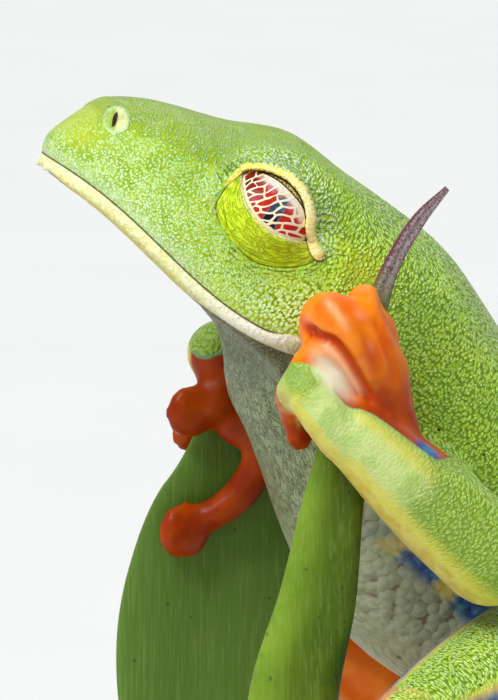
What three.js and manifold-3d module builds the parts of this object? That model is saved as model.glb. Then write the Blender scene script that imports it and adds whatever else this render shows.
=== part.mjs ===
// A life-size model of a female red-eyed tree frog, as a museum shows it: it clings upright
// to two cut leaves, on a round base with two short rods.
//
// Millimetres, +Z up. The frog faces -Y and its left side is +X. The origin is the middle of
// the base's underside. The frog is laid out from the tip of its snout: SNOUT is that point,
// and every body, limb and leaf point below is stated from there as (left, back, up).

import * as THREE from "three";
import { mergeVertices } from "three/addons/utils/BufferGeometryUtils.js";
import Module from "manifold-3d";

const wasm = await Module();
wasm.setup();

// ---------------------------------------------------------------- driving dimensions
const SNOUT = new THREE.Vector3(0, -22, 96); // tip of the snout above the base
const GAP = 0.3; // clearance between neighbouring solids

const HEAD_PITCH = THREE.MathUtils.degToRad(30); // the head looks up by this much
const HEAD_LENGTH = 20.5; // snout tip to the plane that parts head and trunk
const HEAD_HALF_WIDTH = 10.9; // at the angle of the jaw
const MOUTH_DROP = 3.0; // how far the mouth line falls from the snout to its corner
const MOUTH_LENGTH = 16;
const LIP_DEPTH = 1.15; // height of the pale rim of the lower jaw
const SNOUT_HEIGHT = 7.95; // top of the snout above its tip, ahead of the brows
const BROW_RISE = 2.0; // the crown's rise from the snout to the brows

const EYE_RADIUS = 3.5;
const EYE_CENTRE = { side: 6.3, behind: 13.8, above: 3.6 }; // in the head's frame

const LIMB_SIDES = 10;
const DIGIT_SIDES = 6;
const BODY_SIDES = 30;

const BASE_RADIUS = 37;
const BASE_HEIGHT = 7;
const ROD_RADIUS = 1.5;
const LEAF_FOOT = -67; // level of the leaves' cut lower ends, from the snout

// ---------------------------------------------------------------- colours and finishes
const finish = (color, roughness, metalness = 0) =>
  new THREE.MeshStandardMaterial({ color, roughness, metalness });
const GREEN = finish(0x7fb02a, 0.45);
const PALE = finish(0xe6dfb8, 0.5);
const ORANGE = finish(0xe8560c, 0.3);
const RED_EYE = finish(0xa81410, 0.12);
const LEAF = finish(0x6f9a35, 0.5);
const WOOD = finish(0x4a2f1d, 0.45);
const BRASS = finish(0xb08d57, 0.3, 1);

// ---------------------------------------------------------------- solids and meshes
const at = (left, back, up) => new THREE.Vector3(left, back, up).add(SNOUT);

function solidOf(geometry) {
  const bare = geometry.clone();
  bare.deleteAttribute("normal");
  bare.deleteAttribute("uv");
  const merged = mergeVertices(bare, 1e-4);
  return new wasm.Manifold(
    new wasm.Mesh({
      numProp: 3,
      vertProperties: new Float32Array(merged.attributes.position.array),
      triVerts: new Uint32Array(merged.index.array),
    }),
  );
}

function meshOf(name, solid, material) {
  const made = solid.getMesh();
  const geometry = new THREE.BufferGeometry()
    .setAttribute("position", new THREE.BufferAttribute(made.vertProperties, 3))
    .setIndex(new THREE.BufferAttribute(made.triVerts, 1));
  geometry.computeVertexNormals();
  const mesh = new THREE.Mesh(geometry, material);
  mesh.name = name;
  return mesh;
}

// A closed skin over rings of equal numbers of points, each ring counter-clockwise seen
// from the last ring's side, with a fan over each end.
function loft(rings) {
  const sides = rings[0].length;
  const middle = (ring) =>
    ring.reduce((sum, p) => sum.add(p), new THREE.Vector3()).divideScalar(sides);
  const points = [middle(rings[0]), ...rings.flat(), middle(rings.at(-1))];
  const last = points.length - 1;
  const faces = [];
  for (let j = 0; j < sides; j++) {
    const next = (j + 1) % sides;
    faces.push(0, 1 + next, 1 + j);
    for (let i = 0; i + 1 < rings.length; i++) {
      const a = 1 + i * sides;
      const b = a + sides;
      faces.push(a + j, a + next, b + next, a + j, b + next, b + j);
    }
    const end = 1 + (rings.length - 1) * sides;
    faces.push(last, end + j, end + next);
  }
  return new THREE.BufferGeometry()
    .setAttribute("position", new THREE.Float32BufferAttribute(points.flatMap((p) => p.toArray()), 3))
    .setIndex(faces);
}

// A limb or digit: rings round a smooth curve through the points, with rounded ends.
// radius(s) is the half breadth at s from 0 to 1, and flatness squeezes it along `thin`.
function tube({ points, radius, sides, steps, flatness = 1, thin = new THREE.Vector3(1, 0, 0) }) {
  const curve = new THREE.CatmullRomCurve3(points, false, "centripetal");
  const capRings = [0.6];
  const rings = [];
  const addRing = (centre, tangent, size) => {
    const depth = thin.clone().addScaledVector(tangent, -thin.dot(tangent)).normalize();
    const breadth = new THREE.Vector3().crossVectors(tangent, depth);
    const ring = [];
    for (let j = 0; j < sides; j++) {
      const angle = (2 * Math.PI * j) / sides;
      ring.push(
        centre
          .clone()
          .addScaledVector(depth, size * flatness * Math.cos(angle))
          .addScaledVector(breadth, size * Math.sin(angle)),
      );
    }
    rings.push(ring);
  };
  const start = curve.getPointAt(0);
  const end = curve.getPointAt(1);
  const startTangent = curve.getTangentAt(0);
  const endTangent = curve.getTangentAt(1);
  for (const share of capRings)
    addRing(
      start.clone().addScaledVector(startTangent, -radius(0) * Math.sqrt(1 - share ** 2)),
      startTangent,
      radius(0) * share,
    );
  for (let i = 0; i <= steps; i++) {
    const s = i / steps;
    addRing(curve.getPointAt(s), curve.getTangentAt(s), radius(s));
  }
  for (const share of [...capRings].reverse())
    addRing(
      end.clone().addScaledVector(endTangent, radius(1) * Math.sqrt(1 - share ** 2)),
      endTangent,
      radius(1) * share,
    );
  return solidOf(loft(rings));
}

function ball(centre, radii, facing = new THREE.Vector3(0, 0, 1), around = 10, rows = 6) {
  const turn = new THREE.Quaternion().setFromUnitVectors(
    new THREE.Vector3(0, 1, 0),
    facing.clone().normalize(),
  );
  return solidOf(
    new THREE.SphereGeometry(1, around, rows)
      .scale(radii.x, radii.y, radii.z)
      .applyQuaternion(turn)
      .translate(...centre.toArray()),
  );
}

// Keeps the side of the plane through `point` that `normal` points to, half a gap back.
const trim = (solid, point, normal) => {
  const n = normal.clone().normalize();
  return solid.trimByPlane(n.toArray(), n.dot(point) + GAP / 2);
};

// A joint's cut can leave a loose sliver, which is dropped.
const largest = (solid) => solid.decompose().sort((a, b) => b.volume() - a.volume())[0];

// The plane at a bent joint, facing the segment that runs towards `ours`.
const jointPlane = (joint, ours, theirs) =>
  ours.clone().sub(joint).normalize().sub(theirs.clone().sub(joint).normalize());

// ---------------------------------------------------------------- head and trunk
const headAxis = new THREE.Vector3(0, Math.cos(HEAD_PITCH), -Math.sin(HEAD_PITCH)); // to the back
const headUp = new THREE.Vector3(0, Math.sin(HEAD_PITCH), Math.cos(HEAD_PITCH));
const inHead = (side, behind, above) =>
  at(side, 0, 0).addScaledVector(headAxis, behind).addScaledVector(headUp, above);

// Everything here is by t, millimetres behind the snout tip along the head's axis.
const lipHalfWidth = (t) => HEAD_HALF_WIDTH * (1 - Math.max(0, 1 - t / 21) ** 1.8) ** 0.51;
const crownHeight = (t) =>
  SNOUT_HEIGHT * (1 - Math.max(0, 1 - t / 9) ** 2.2) ** 0.5 +
  BROW_RISE * THREE.MathUtils.smoothstep(t, 9.8, 15.8);
const mouthHeight = (t) => 0.3 - (MOUTH_DROP / 2) * (1 - Math.cos((Math.PI * t) / MOUTH_LENGTH));
const throatHeight = (t) => mouthHeight(t) - 0.85 * LIP_DEPTH - 0.0024 * Math.max(0, t - 11) ** 3;
const canthusHalfWidth = (t) => lipHalfWidth(t) * (0.72 - 0.004 * t);
const canthusHeight = (t) => mouthHeight(t) + 0.78 * (crownHeight(t) - mouthHeight(t));

// A cross-section is a smooth closed outline through its top, its bottom and the points of
// its side, from the top down, each [half width, height].
function sectionRing({ place, top, side, bottom, grow }) {
  const middle = (top + bottom) / 2;
  const grown = side.map(([x, u]) => [x + grow, u + grow * Math.sign(u - middle)]);
  const knots = [
    [0, top + grow],
    ...grown,
    [0, bottom - grow],
    ...grown.reverse().map(([x, u]) => [-x, u]),
  ].map(([x, u]) => new THREE.Vector3(x, u, 0));
  const outline = new THREE.CatmullRomCurve3(knots, true, "centripetal");
  return Array.from({ length: BODY_SIDES }, (_, j) => {
    const p = outline.getPoint(j / BODY_SIDES);
    return place(p.x, p.y);
  });
}

// The snout reaches this far past the lip.
const overhang = (t) => 0.55 * Math.max(0, 1 - t / 4);

const headSections = [0.12, 0.5, 1.1, 2, 3.4, 5.2, 7.4, 9.8, 12.2, 14.6, 17, 19.2];
const headRings = (grow) =>
  headSections.map((t) =>
    sectionRing({
      place: (x, u) => inHead(x, t - overhang(t) * THREE.MathUtils.smoothstep(u, 0, 1.5), u),
      top: crownHeight(t),
      side: [
        [canthusHalfWidth(t), canthusHeight(t)],
        [lipHalfWidth(t), mouthHeight(t)],
        [lipHalfWidth(t) * 0.9, mouthHeight(t) - LIP_DEPTH],
        [lipHalfWidth(t) * 0.5, throatHeight(t)],
      ],
      bottom: throatHeight(t),
      grow,
    }),
  );

// The trunk's sections, from the shoulders to the vent: the back's and the belly's points as
// [back, up], and the half width between them.
const TRUNK = [
  { back: [24.2, -3.3], belly: [13.6, -17.6], halfWidth: 10.5 },
  { back: [28.4, -7.4], belly: [14.8, -20.4], halfWidth: 10.3 },
  { back: [31.4, -11.6], belly: [16.0, -23.6], halfWidth: 10.8 },
  { back: [34.2, -16.2], belly: [17.4, -27.6], halfWidth: 11.5 },
  { back: [37.0, -20.9], belly: [19.4, -32.0], halfWidth: 11.5 },
  { back: [39.7, -25.6], belly: [23.0, -36.4], halfWidth: 10.6 },
  { back: [42.0, -29.8], belly: [28.2, -39.8], halfWidth: 9.0 },
  { back: [43.7, -33.4], belly: [33.6, -41.6], halfWidth: 6.8 },
  { back: [44.6, -36.6], belly: [38.6, -41.8], halfWidth: 4.3 },
  { back: [44.2, -39.2], belly: [42.0, -41.0], halfWidth: 1.5 },
];
const trunkRings = (grow) =>
  TRUNK.map(({ back, belly, halfWidth }) => {
    const high = at(0, ...back);
    const low = at(0, ...belly);
    const centre = high.clone().add(low).multiplyScalar(0.5);
    const up = high.clone().sub(low).normalize();
    const depth = high.distanceTo(low) / 2;
    return sectionRing({
      place: (x, u) => centre.clone().addScaledVector(up, u).setX(x + SNOUT.x),
      top: depth,
      side: [
        [0.74 * halfWidth, 0.68 * depth],
        [halfWidth, 0],
        [0.84 * halfWidth, -0.56 * depth],
        [0.46 * halfWidth, -0.91 * depth],
      ],
      bottom: -depth,
      grow,
    });
  });

const bodySolid = (grow) => solidOf(loft([...headRings(grow), ...trunkRings(grow)]));
const body = bodySolid(0);
const bodyWithClearance = bodySolid(GAP);

// The mouth: a thin curved slot from side to side that frees the lower jaw.
function mouthSlot() {
  const outline = new THREE.Shape();
  const reach = Array.from({ length: 12 }, (_, i) => -2 + (i * (HEAD_LENGTH + 4)) / 11);
  const height = (t) => mouthHeight(Math.max(0, t));
  reach.forEach((t, i) => outline[i ? "lineTo" : "moveTo"](t, height(t) + GAP / 2));
  [...reach].reverse().forEach((t) => outline.lineTo(t, height(t) - GAP / 2));
  const slot = new THREE.ExtrudeGeometry(outline, { depth: 40, bevelEnabled: false });
  const frame = new THREE.Matrix4().makeBasis(headAxis, headUp, new THREE.Vector3(1, 0, 0));
  return solidOf(slot.applyMatrix4(frame.setPosition(at(-20, 0, 0))));
}

const neckPoint = inHead(0, HEAD_LENGTH, 0);
const front = trim(body, neckPoint, headAxis.clone().negate());
const trunk = trim(body, neckPoint, headAxis);

const eyeCentre = (side) => inHead(side * EYE_CENTRE.side, EYE_CENTRE.behind, EYE_CENTRE.above);
const eyeBall = (side, radius) =>
  ball(eyeCentre(side), new THREE.Vector3(radius, radius, radius), new THREE.Vector3(side, 0, 0), 16, 10);

const [upperHead, lowerJaw] = front
  .subtract(mouthSlot())
  .decompose()
  .sort((a, b) => b.volume() - a.volume());
const head = upperHead.subtract(eyeBall(1, EYE_RADIUS + GAP)).subtract(eyeBall(-1, EYE_RADIUS + GAP));

// ---------------------------------------------------------------- leaves
// Each leaf runs up through the frog's grip, with its half width and half thickness there.
const LEAVES = {
  left: [
    { at: [11.8, 19.6, LEAF_FOOT], wide: 2.4, thick: 1.9 },
    { at: [13.2, 16.2, -57], wide: 2.7, thick: 1.7 },
    { at: [15.0, 13.6, -45], wide: 3.2, thick: 1.5 },
    { at: [15.5, 13.5, -35.0], wide: 3.15, thick: 1.3 },
    { at: [15.1, 15.3, -28.1], wide: 2.7, thick: 1.1 },
    { at: [14.5, 16.4, -22.5], wide: 2.2, thick: 0.9 },
    { at: [14.1, 17.6, -16.9], wide: 1.7, thick: 0.7 },
    { at: [13.8, 18.5, -13.0], wide: 1.25, thick: 0.6 },
    { at: [13.5, 19.5, -9.6], wide: 0.9, thick: 0.55 },
    { at: [13.0, 20.9, -6.2], wide: 0.6, thick: 0.5 },
    { at: [12.4, 23.0, -3.2], wide: 0.5, thick: 0.45 },
    { at: [12.0, 25.1, -1.2], wide: 0.25, thick: 0.25 },
  ],
  right: [
    { at: [-11.8, 19.6, LEAF_FOOT], wide: 2.3, thick: 1.9 },
    { at: [-13.0, 16.8, -57], wide: 2.6, thick: 1.6 },
    { at: [-14.2, 14.4, -46], wide: 4.2, thick: 1.0 },
    { at: [-14.0, 14.4, -39], wide: 4.9, thick: 0.7 },
    { at: [-13.7, 15.2, -32.6], wide: 4.6, thick: 0.6 },
    { at: [-13.6, 16.2, -27], wide: 3.4, thick: 0.5 },
    { at: [-13.7, 16.4, -23.4], wide: 2.0, thick: 0.45 },
    { at: [-13.9, 16.4, -20.6], wide: 0.6, thick: 0.4 },
  ],
};

function leafSolid(side, grow) {
  const rows = LEAVES[side];
  const curve = new THREE.CatmullRomCurve3(rows.map((row) => at(...row.at)), false, "centripetal");
  const steps = 2 * (rows.length - 1);
  const rings = [];
  for (let i = 0; i <= steps; i++) {
    const s = i / steps;
    const here = rows[Math.floor(i / 2)];
    const next = rows[Math.ceil(i / 2)];
    const wide = (here.wide + next.wide) / 2 + grow;
    const thick = (here.thick + next.thick) / 2 + grow;
    const centre = curve.getPoint(s);
    const tangent = i ? curve.getTangent(s) : new THREE.Vector3(0, 0, 1); // the foot is cut level
    const depth = new THREE.Vector3(1, 0, 0);
    depth.addScaledVector(tangent, -depth.dot(tangent)).normalize();
    const breadth = new THREE.Vector3().crossVectors(tangent, depth);
    rings.push(
      Array.from({ length: 12 }, (_, j) => {
        const angle = (2 * Math.PI * j) / 12;
        return centre
          .clone()
          .addScaledVector(depth, thick * Math.cos(angle))
          .addScaledVector(breadth, wide * Math.sin(angle));
      }),
    );
  }
  return solidOf(loft(rings));
}
const leaf = { left: leafSolid("left", 0), right: leafSolid("right", 0) };
const leafWithClearance = { left: leafSolid("left", GAP), right: leafSolid("right", GAP) };

// ---------------------------------------------------------------- arms and legs
// A muscle's profile: from `start` to `end` radius, swelling by `belly` towards one end.
const muscle = (start, end, belly, peak = 0.4) => (s) =>
  start + (end - start) * s + belly * Math.sin(Math.PI * s ** (Math.log(0.5) / Math.log(peak)));

const segment = (from, to, radius, flatness = 1, thin = undefined) =>
  tube({ points: [from, from.clone().lerp(to, 0.5), to], radius, sides: LIMB_SIDES, steps: 6, flatness, thin });

// The arm's joints, stated for the frog's left side.
const ARMS = {
  left: { shoulder: [8.6, 22.8, -20.4], elbow: [17.5, 26.6, -25.4], wrist: [16.7, 17.3, -17.1] },
  right: { shoulder: [-8.6, 22.8, -20.4], elbow: [-17.0, 26.6, -26.0], wrist: [-14.0, 16.6, -17.8] },
};
const HAND_HEEL = { left: [16.4, 17.4, -12.6], right: [-12.3, 16.9, -20.6] };

function armJoints(side) {
  const { shoulder, elbow, wrist } = ARMS[side];
  return [at(...shoulder), at(...elbow), at(...wrist), at(...HAND_HEEL[side])];
}

const forearmSolid = (elbow, wrist, grow) => segment(elbow, wrist, muscle(3.4 + grow, 2.2 + grow, 0.3));

function arm(side) {
  const [shoulder, elbow, wrist, heel] = armJoints(side);
  const upper = segment(shoulder, elbow, muscle(3.2, 2.8, 0.1));
  const elbowCut = trim(forearmSolid(elbow, wrist, 0), elbow, jointPlane(elbow, wrist, shoulder));
  return {
    upper: trim(upper, elbow, jointPlane(elbow, shoulder, wrist)).subtract(bodyWithClearance),
    fore: trim(elbowCut, wrist, jointPlane(wrist, elbow, heel))
      .subtract(bodyWithClearance)
      .subtract(leafWithClearance[side]),
  };
}

// A digit is a tapering tube with a flat round disc, turned to press on what it holds.
function digit({ path, radius, disc, discFaces }) {
  const points = path.map((p) => at(...p));
  const taper = (s) => radius * (1 - 0.28 * s);
  const steps = path.length + 1;
  const stem = tube({ points, radius: taper, sides: DIGIT_SIDES, steps });
  const pad = ball(
    points.at(-1),
    new THREE.Vector3(disc, disc * 0.42, disc),
    new THREE.Vector3(...discFaces),
    7,
    4,
  );
  return stem.add(pad);
}

const HANDS = {
  left: {
    palm: { points: [[16.3, 18.1, -16.3], [16.4, 17.4, -12.6], [16.4, 16.7, -9.8]], radius: 3.1, flatness: 0.5 },
    digits: [
      {
        path: [
          [16.8, 17.0, -16.8], [17.1, 15.0, -15.0], [16.9, 13.2, -13.6],
          [15.4, 13.3, -14.4], [14.5, 14.1, -15.7], [14.2, 14.5, -16.7],
        ],
        radius: 1.75,
        disc: 1.7,
        discFaces: [1, 0.5, 0],
      },
      {
        path: [
          [16.4, 18.6, -15.4], [17.0, 16.3, -11.2], [17.0, 14.8, -9.0],
          [15.4, 15.0, -8.4], [13.2, 16.3, -9.0], [11.9, 17.6, -10.9],
        ],
        radius: 1.4,
        disc: 1.5,
        discFaces: [1, 0, 0],
      },
      {
        path: [
          [16.2, 19.5, -15.5], [17.0, 18.6, -11.2], [16.9, 18.0, -8.9],
          [15.3, 18.3, -8.0], [13.2, 19.2, -8.3], [11.9, 19.8, -10.3],
        ],
        radius: 1.3,
        disc: 1.4,
        discFaces: [1, 0, 0],
      },
      {
        path: [
          [16.0, 20.0, -15.9], [16.5, 20.1, -13.2], [16.3, 19.7, -10.8],
          [14.9, 20.0, -10.2], [13.1, 20.8, -10.6], [12.1, 21.0, -12.6],
        ],
        radius: 1.25,
        disc: 1.3,
        discFaces: [1, 0, 0],
      },
    ],
  },
  right: {
    palm: { points: [[-14.0, 16.7, -17.2], [-12.9, 16.9, -19.6], [-12.2, 17.2, -22.2]], radius: 2.6, flatness: 0.7 },
    digits: [
      {
        path: [[-12.6, 16.6, -19.8], [-11.9, 15.2, -20.6], [-12.0, 13.2, -21.0]],
        radius: 1.4,
        disc: 2.0,
        discFaces: [1, 0.2, 0],
      },
      {
        path: [[-12.3, 17.2, -21.0], [-11.4, 18.6, -24.0], [-11.6, 16.9, -27.4], [-12.1, 13.2, -29.8]],
        radius: 1.45,
        disc: 2.2,
        discFaces: [1, 0.3, 0],
      },
      {
        path: [[-12.8, 18.0, -19.4], [-14.0, 20.0, -21.2], [-15.4, 19.6, -23.4], [-15.6, 16.8, -25.6]],
        radius: 1.25,
        disc: 1.8,
        discFaces: [1, 0, 0],
      },
      {
        path: [[-13.4, 16.8, -18.4], [-15.2, 16.8, -18.8], [-15.8, 15.8, -21.2], [-15.5, 14.6, -23.2]],
        radius: 1.2,
        disc: 1.6,
        discFaces: [1, 0, 0],
      },
    ],
  },
};

function hand(side) {
  const { palm, digits } = HANDS[side];
  const [, elbow, wrist, heel] = armJoints(side);
  const blade = tube({
    points: palm.points.map((p) => at(...p)),
    radius: muscle(palm.radius * 0.8, palm.radius * 0.85, palm.radius * 0.2, 0.5),
    sides: LIMB_SIDES,
    steps: 4,
    flatness: palm.flatness,
  });
  const forearmWithClearance = trim(
    forearmSolid(elbow, wrist, GAP),
    wrist.clone().addScaledVector(jointPlane(wrist, heel, elbow).normalize(), GAP),
    jointPlane(wrist, elbow, heel),
  );
  const whole = digits
    .map(digit)
    .reduce((sum, d) => sum.add(d), trim(blade, wrist, jointPlane(wrist, heel, elbow)));
  return largest(
    whole
      .subtract(forearmWithClearance)
      .subtract(leafWithClearance[side])
      .subtract(bodyWithClearance),
  );
}

// The leg folds in a Z: thigh forward, shank back, then the long ankle and foot forward
// to a leaf. Both legs are alike, so the right one is the left one mirrored.
const LEG = {
  hip: [5.5, 38.0, -35.6],
  knee: [26.0, 18.0, -34.5],
  ankle: [14.6, 40.0, -52.4],
  heel: [14.6, 24.6, -56.8],
  toes: [13.7, 20.6, -56.8],
};
const TOES = [
  { path: [[14.2, 22.6, -55.9], [16.6, 20.0, -53.4], [17.0, 16.6, -51.2], [16.7, 13.4, -50.2]], radius: 1.0, disc: 1.6 },
  { path: [[14.8, 22.4, -56.6], [17.0, 19.6, -55.8], [16.9, 16.0, -54.6], [16.3, 12.4, -54.0]], radius: 1.1, disc: 1.75 },
  { path: [[14.6, 22.2, -57.4], [16.4, 19.8, -58.6], [16.2, 16.6, -58.6], [15.6, 13.6, -58.4]], radius: 1.05, disc: 1.6 },
  { path: [[13.2, 22.0, -56.2], [11.4, 19.6, -55.0], [11.2, 16.8, -54.0], [11.6, 14.2, -53.6]], radius: 0.95, disc: 1.4 },
  { path: [[13.4, 22.2, -57.2], [11.0, 20.2, -58.2], [10.3, 17.8, -58.4], [10.3, 15.4, -58.2]], radius: 0.95, disc: 1.4 },
];

function leg(side) {
  const p = Object.fromEntries(
    Object.entries(LEG).map(([name, [left, back, up]]) => [name, at(side * left, back, up)]),
  );
  const ownLeaf = leafWithClearance[side > 0 ? "left" : "right"];
  const thigh = segment(p.hip, p.knee, muscle(4.2, 2.7, 1.1, 0.35));
  const shank = segment(p.knee, p.ankle, muscle(2.5, 1.9, 1.2, 0.35));
  const ankle = segment(p.ankle, p.heel, muscle(1.9, 1.7, 0.3));
  const sole = tube({
    points: [p.heel, p.heel.clone().lerp(p.toes, 0.5), p.toes],
    radius: muscle(1.9, 2.5, 0.3, 0.5),
    sides: LIMB_SIDES,
    steps: 3,
    flatness: 0.8,
    thin: new THREE.Vector3(0, 0, 1),
  });
  const foot = TOES.map(({ path, radius, disc }) =>
    digit({
      path: path.map(([left, back, up]) => [side * left, back, up]),
      radius,
      disc,
      discFaces: [1, 0, 0],
    }),
  ).reduce((sum, d) => sum.add(d), sole);
  return {
    thigh: trim(thigh, p.knee, jointPlane(p.knee, p.hip, p.ankle)).subtract(bodyWithClearance),
    shank: trim(
      trim(shank, p.knee, jointPlane(p.knee, p.ankle, p.hip)),
      p.ankle,
      jointPlane(p.ankle, p.knee, p.heel),
    ),
    ankle: trim(
      trim(ankle, p.ankle, jointPlane(p.ankle, p.heel, p.knee)),
      p.heel,
      jointPlane(p.heel, p.ankle, p.toes),
    ),
    foot: trim(foot, p.heel, jointPlane(p.heel, p.toes, p.ankle)).subtract(ownLeaf),
  };
}

// ---------------------------------------------------------------- display stand
const rodTop = SNOUT.z + LEAF_FOOT - GAP;
function baseSolid() {
  const edge = 1.2;
  const profile = [
    new THREE.Vector2(0, 0),
    new THREE.Vector2(BASE_RADIUS, 0),
    new THREE.Vector2(BASE_RADIUS, BASE_HEIGHT - 2 * edge),
    new THREE.Vector2(BASE_RADIUS - 0.35 * edge, BASE_HEIGHT - 0.6 * edge),
    new THREE.Vector2(BASE_RADIUS - 1.5 * edge, BASE_HEIGHT),
    new THREE.Vector2(0, BASE_HEIGHT),
  ];
  return solidOf(new THREE.LatheGeometry(profile, 48).rotateX(Math.PI / 2));
}
function rodSolid(side) {
  const height = rodTop - BASE_HEIGHT - GAP;
  const foot = at(side * 11.8, 19.6, 0);
  return solidOf(
    new THREE.CylinderGeometry(ROD_RADIUS, ROD_RADIUS, height, 16)
      .rotateX(Math.PI / 2)
      .translate(foot.x, foot.y, BASE_HEIGHT + GAP + height / 2),
  );
}

// ---------------------------------------------------------------- assembly
const frog = new THREE.Group();
const add = (name, solid, material) => frog.add(meshOf(name, solid, material));

add("head", head, GREEN);
add("lower_jaw", lowerJaw, PALE);
add("trunk", trunk, GREEN);
for (const [name, side] of [["left", 1], ["right", -1]]) {
  add(`eye_${name}`, eyeBall(side, EYE_RADIUS), RED_EYE);
  const { upper, fore } = arm(name);
  add(`upper_arm_${name}`, upper, ORANGE);
  add(`forearm_${name}`, fore, GREEN);
  add(`hand_${name}`, hand(name), ORANGE);
  const { thigh, shank, ankle, foot } = leg(side);
  add(`thigh_${name}`, thigh, GREEN);
  add(`shank_${name}`, shank, GREEN);
  add(`ankle_${name}`, ankle, GREEN);
  add(`foot_${name}`, foot, ORANGE);
  add(`perch_leaf_${name}`, leaf[name], LEAF);
  add(`stand_rod_${name}`, rodSolid(side), BRASS);
}
add("stand_base", baseSolid(), WOOD);

export default frog;
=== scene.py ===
# %% [markdown]
# # A red-eyed tree frog, life size, as a museum shows it
# The frog clings upright to two cut leaves, its head raised and its eyelids half closed.
# This lesson builds its skin as one closed surface, then its eyes, the two leaves, the stand
# and every finish, around a frame of plain solids that already has the right size and place.

import bpy
import numpy as np
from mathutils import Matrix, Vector
from mathutils.bvhtree import BVHTree


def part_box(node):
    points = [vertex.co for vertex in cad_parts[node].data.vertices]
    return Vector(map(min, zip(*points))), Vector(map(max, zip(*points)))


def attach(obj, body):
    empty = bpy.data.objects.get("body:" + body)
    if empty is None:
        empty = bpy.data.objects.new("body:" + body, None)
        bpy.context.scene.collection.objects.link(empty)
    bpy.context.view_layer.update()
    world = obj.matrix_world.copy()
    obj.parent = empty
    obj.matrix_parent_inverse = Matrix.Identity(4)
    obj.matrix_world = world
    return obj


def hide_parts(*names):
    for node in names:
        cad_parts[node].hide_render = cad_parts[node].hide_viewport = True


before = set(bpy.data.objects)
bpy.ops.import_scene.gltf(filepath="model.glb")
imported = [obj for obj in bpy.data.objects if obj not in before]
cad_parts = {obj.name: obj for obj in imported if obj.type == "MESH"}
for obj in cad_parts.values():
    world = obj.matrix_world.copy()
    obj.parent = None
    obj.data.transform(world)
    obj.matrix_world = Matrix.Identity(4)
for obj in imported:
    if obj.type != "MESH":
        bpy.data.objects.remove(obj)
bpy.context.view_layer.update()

bpy.ops.object.select_all(action="DESELECT")
print("frame:", len(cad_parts), "solids")

# %% [markdown]
# ## Where things are
# The frog is laid out from the tip of its snout in millimetres: left, back, up. Its head looks
# up by 30 degrees, so places on the head are easier to give along the head's own axis: how far
# behind the snout, and how far above it.

# %% Places on the frog
MM = 0.001
SNOUT = np.array([0.0, -22.0, 96.0])
HEAD_PITCH = np.radians(30)
BACK = np.array([0, np.cos(HEAD_PITCH), -np.sin(HEAD_PITCH)])
UP = np.array([0, np.sin(HEAD_PITCH), np.cos(HEAD_PITCH)])
MIRROR = np.array([-1, 1, 1])


def head_point(side, behind, above):
    """A place on the head, in millimetres from the snout."""
    return np.array([side, 0, 0]) + behind * BACK + above * UP


def head_place(points):
    """How far points lie behind the snout and above it, along the head, and to either side."""
    return points @ BACK, points @ UP, np.abs(points[:, 0])


def ramp(value, low, high):
    """0 below low, 1 above high, and smooth between."""
    share = np.clip((value - low) / (high - low), 0, 1)
    return share * share * (3 - 2 * share)


def hill(value, width):
    """1 at 0, falling smoothly to nothing a few widths away."""
    return np.exp(-((value / width) ** 2))


# %% [markdown]
# ## Loft, the way to a smooth body
# A frog's body and limbs are soft tubes, so each is a row of rings with a skin over them.
# Rings through a smooth curve need far fewer numbers than a sculpted mesh, and every ring can
# have its own outline: an egg for the trunk, a flat-topped wedge for the head.

# %% Curves and lofts
def smooth_curve(points, count, closed=False):
    """Points along a centripetal Catmull-Rom curve, the same number on each span."""
    knots = np.asarray(points, float)
    if closed:
        knots = np.vstack([knots[-1:], knots, knots[:2]])
    else:
        knots = np.vstack([2 * knots[0] - knots[1], knots, 2 * knots[-1] - knots[-2]])
    spans = len(knots) - 3
    out = []
    for place in np.linspace(0, spans, count, endpoint=not closed):
        i = min(int(place), spans - 1)
        a, b, c, d = knots[i : i + 4]
        k = [max(1e-6, np.linalg.norm(v[:3])) ** 0.5 for v in (b - a, c - b, d - c)]
        t0, t1, t2, t3 = 0, k[0], k[0] + k[1], sum(k)
        t = t1 + (place - i) * k[1]
        ab = (t1 - t) / k[0] * a + (t - t0) / k[0] * b
        bc = (t2 - t) / k[1] * b + (t - t1) / k[1] * c
        cd = (t3 - t) / k[2] * c + (t - t2) / k[2] * d
        abc = (t2 - t) / (t2 - t0) * ab + (t - t0) / (t2 - t0) * bc
        bcd = (t3 - t) / (t3 - t1) * bc + (t - t1) / (t3 - t1) * cd
        out.append((t2 - t) / k[1] * abc + (t - t1) / k[1] * bcd)
    return np.array(out)


def loft(rings):
    """Vertices and faces of a closed skin over rings of equal numbers of points."""
    rings = np.asarray(rings, float)
    rows, sides = rings.shape[:2]
    verts = np.vstack([rings[0].mean(0)[None], rings.reshape(-1, 3), rings[-1].mean(0)[None]])
    last = 1 + (rows - 1) * sides
    faces = []
    for j in range(sides):
        n = (j + 1) % sides
        faces.append((0, 1 + n, 1 + j))
        faces.append((len(verts) - 1, last + j, last + n))
        for a in range(1, last, sides):
            faces.append((a + j, a + n, a + sides + n, a + sides + j))
    return verts, faces


def directions(centre):
    """Unit vectors along a curve."""
    heading = np.gradient(centre, axis=0)
    return heading / np.linalg.norm(heading, axis=1)[:, None]


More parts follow.
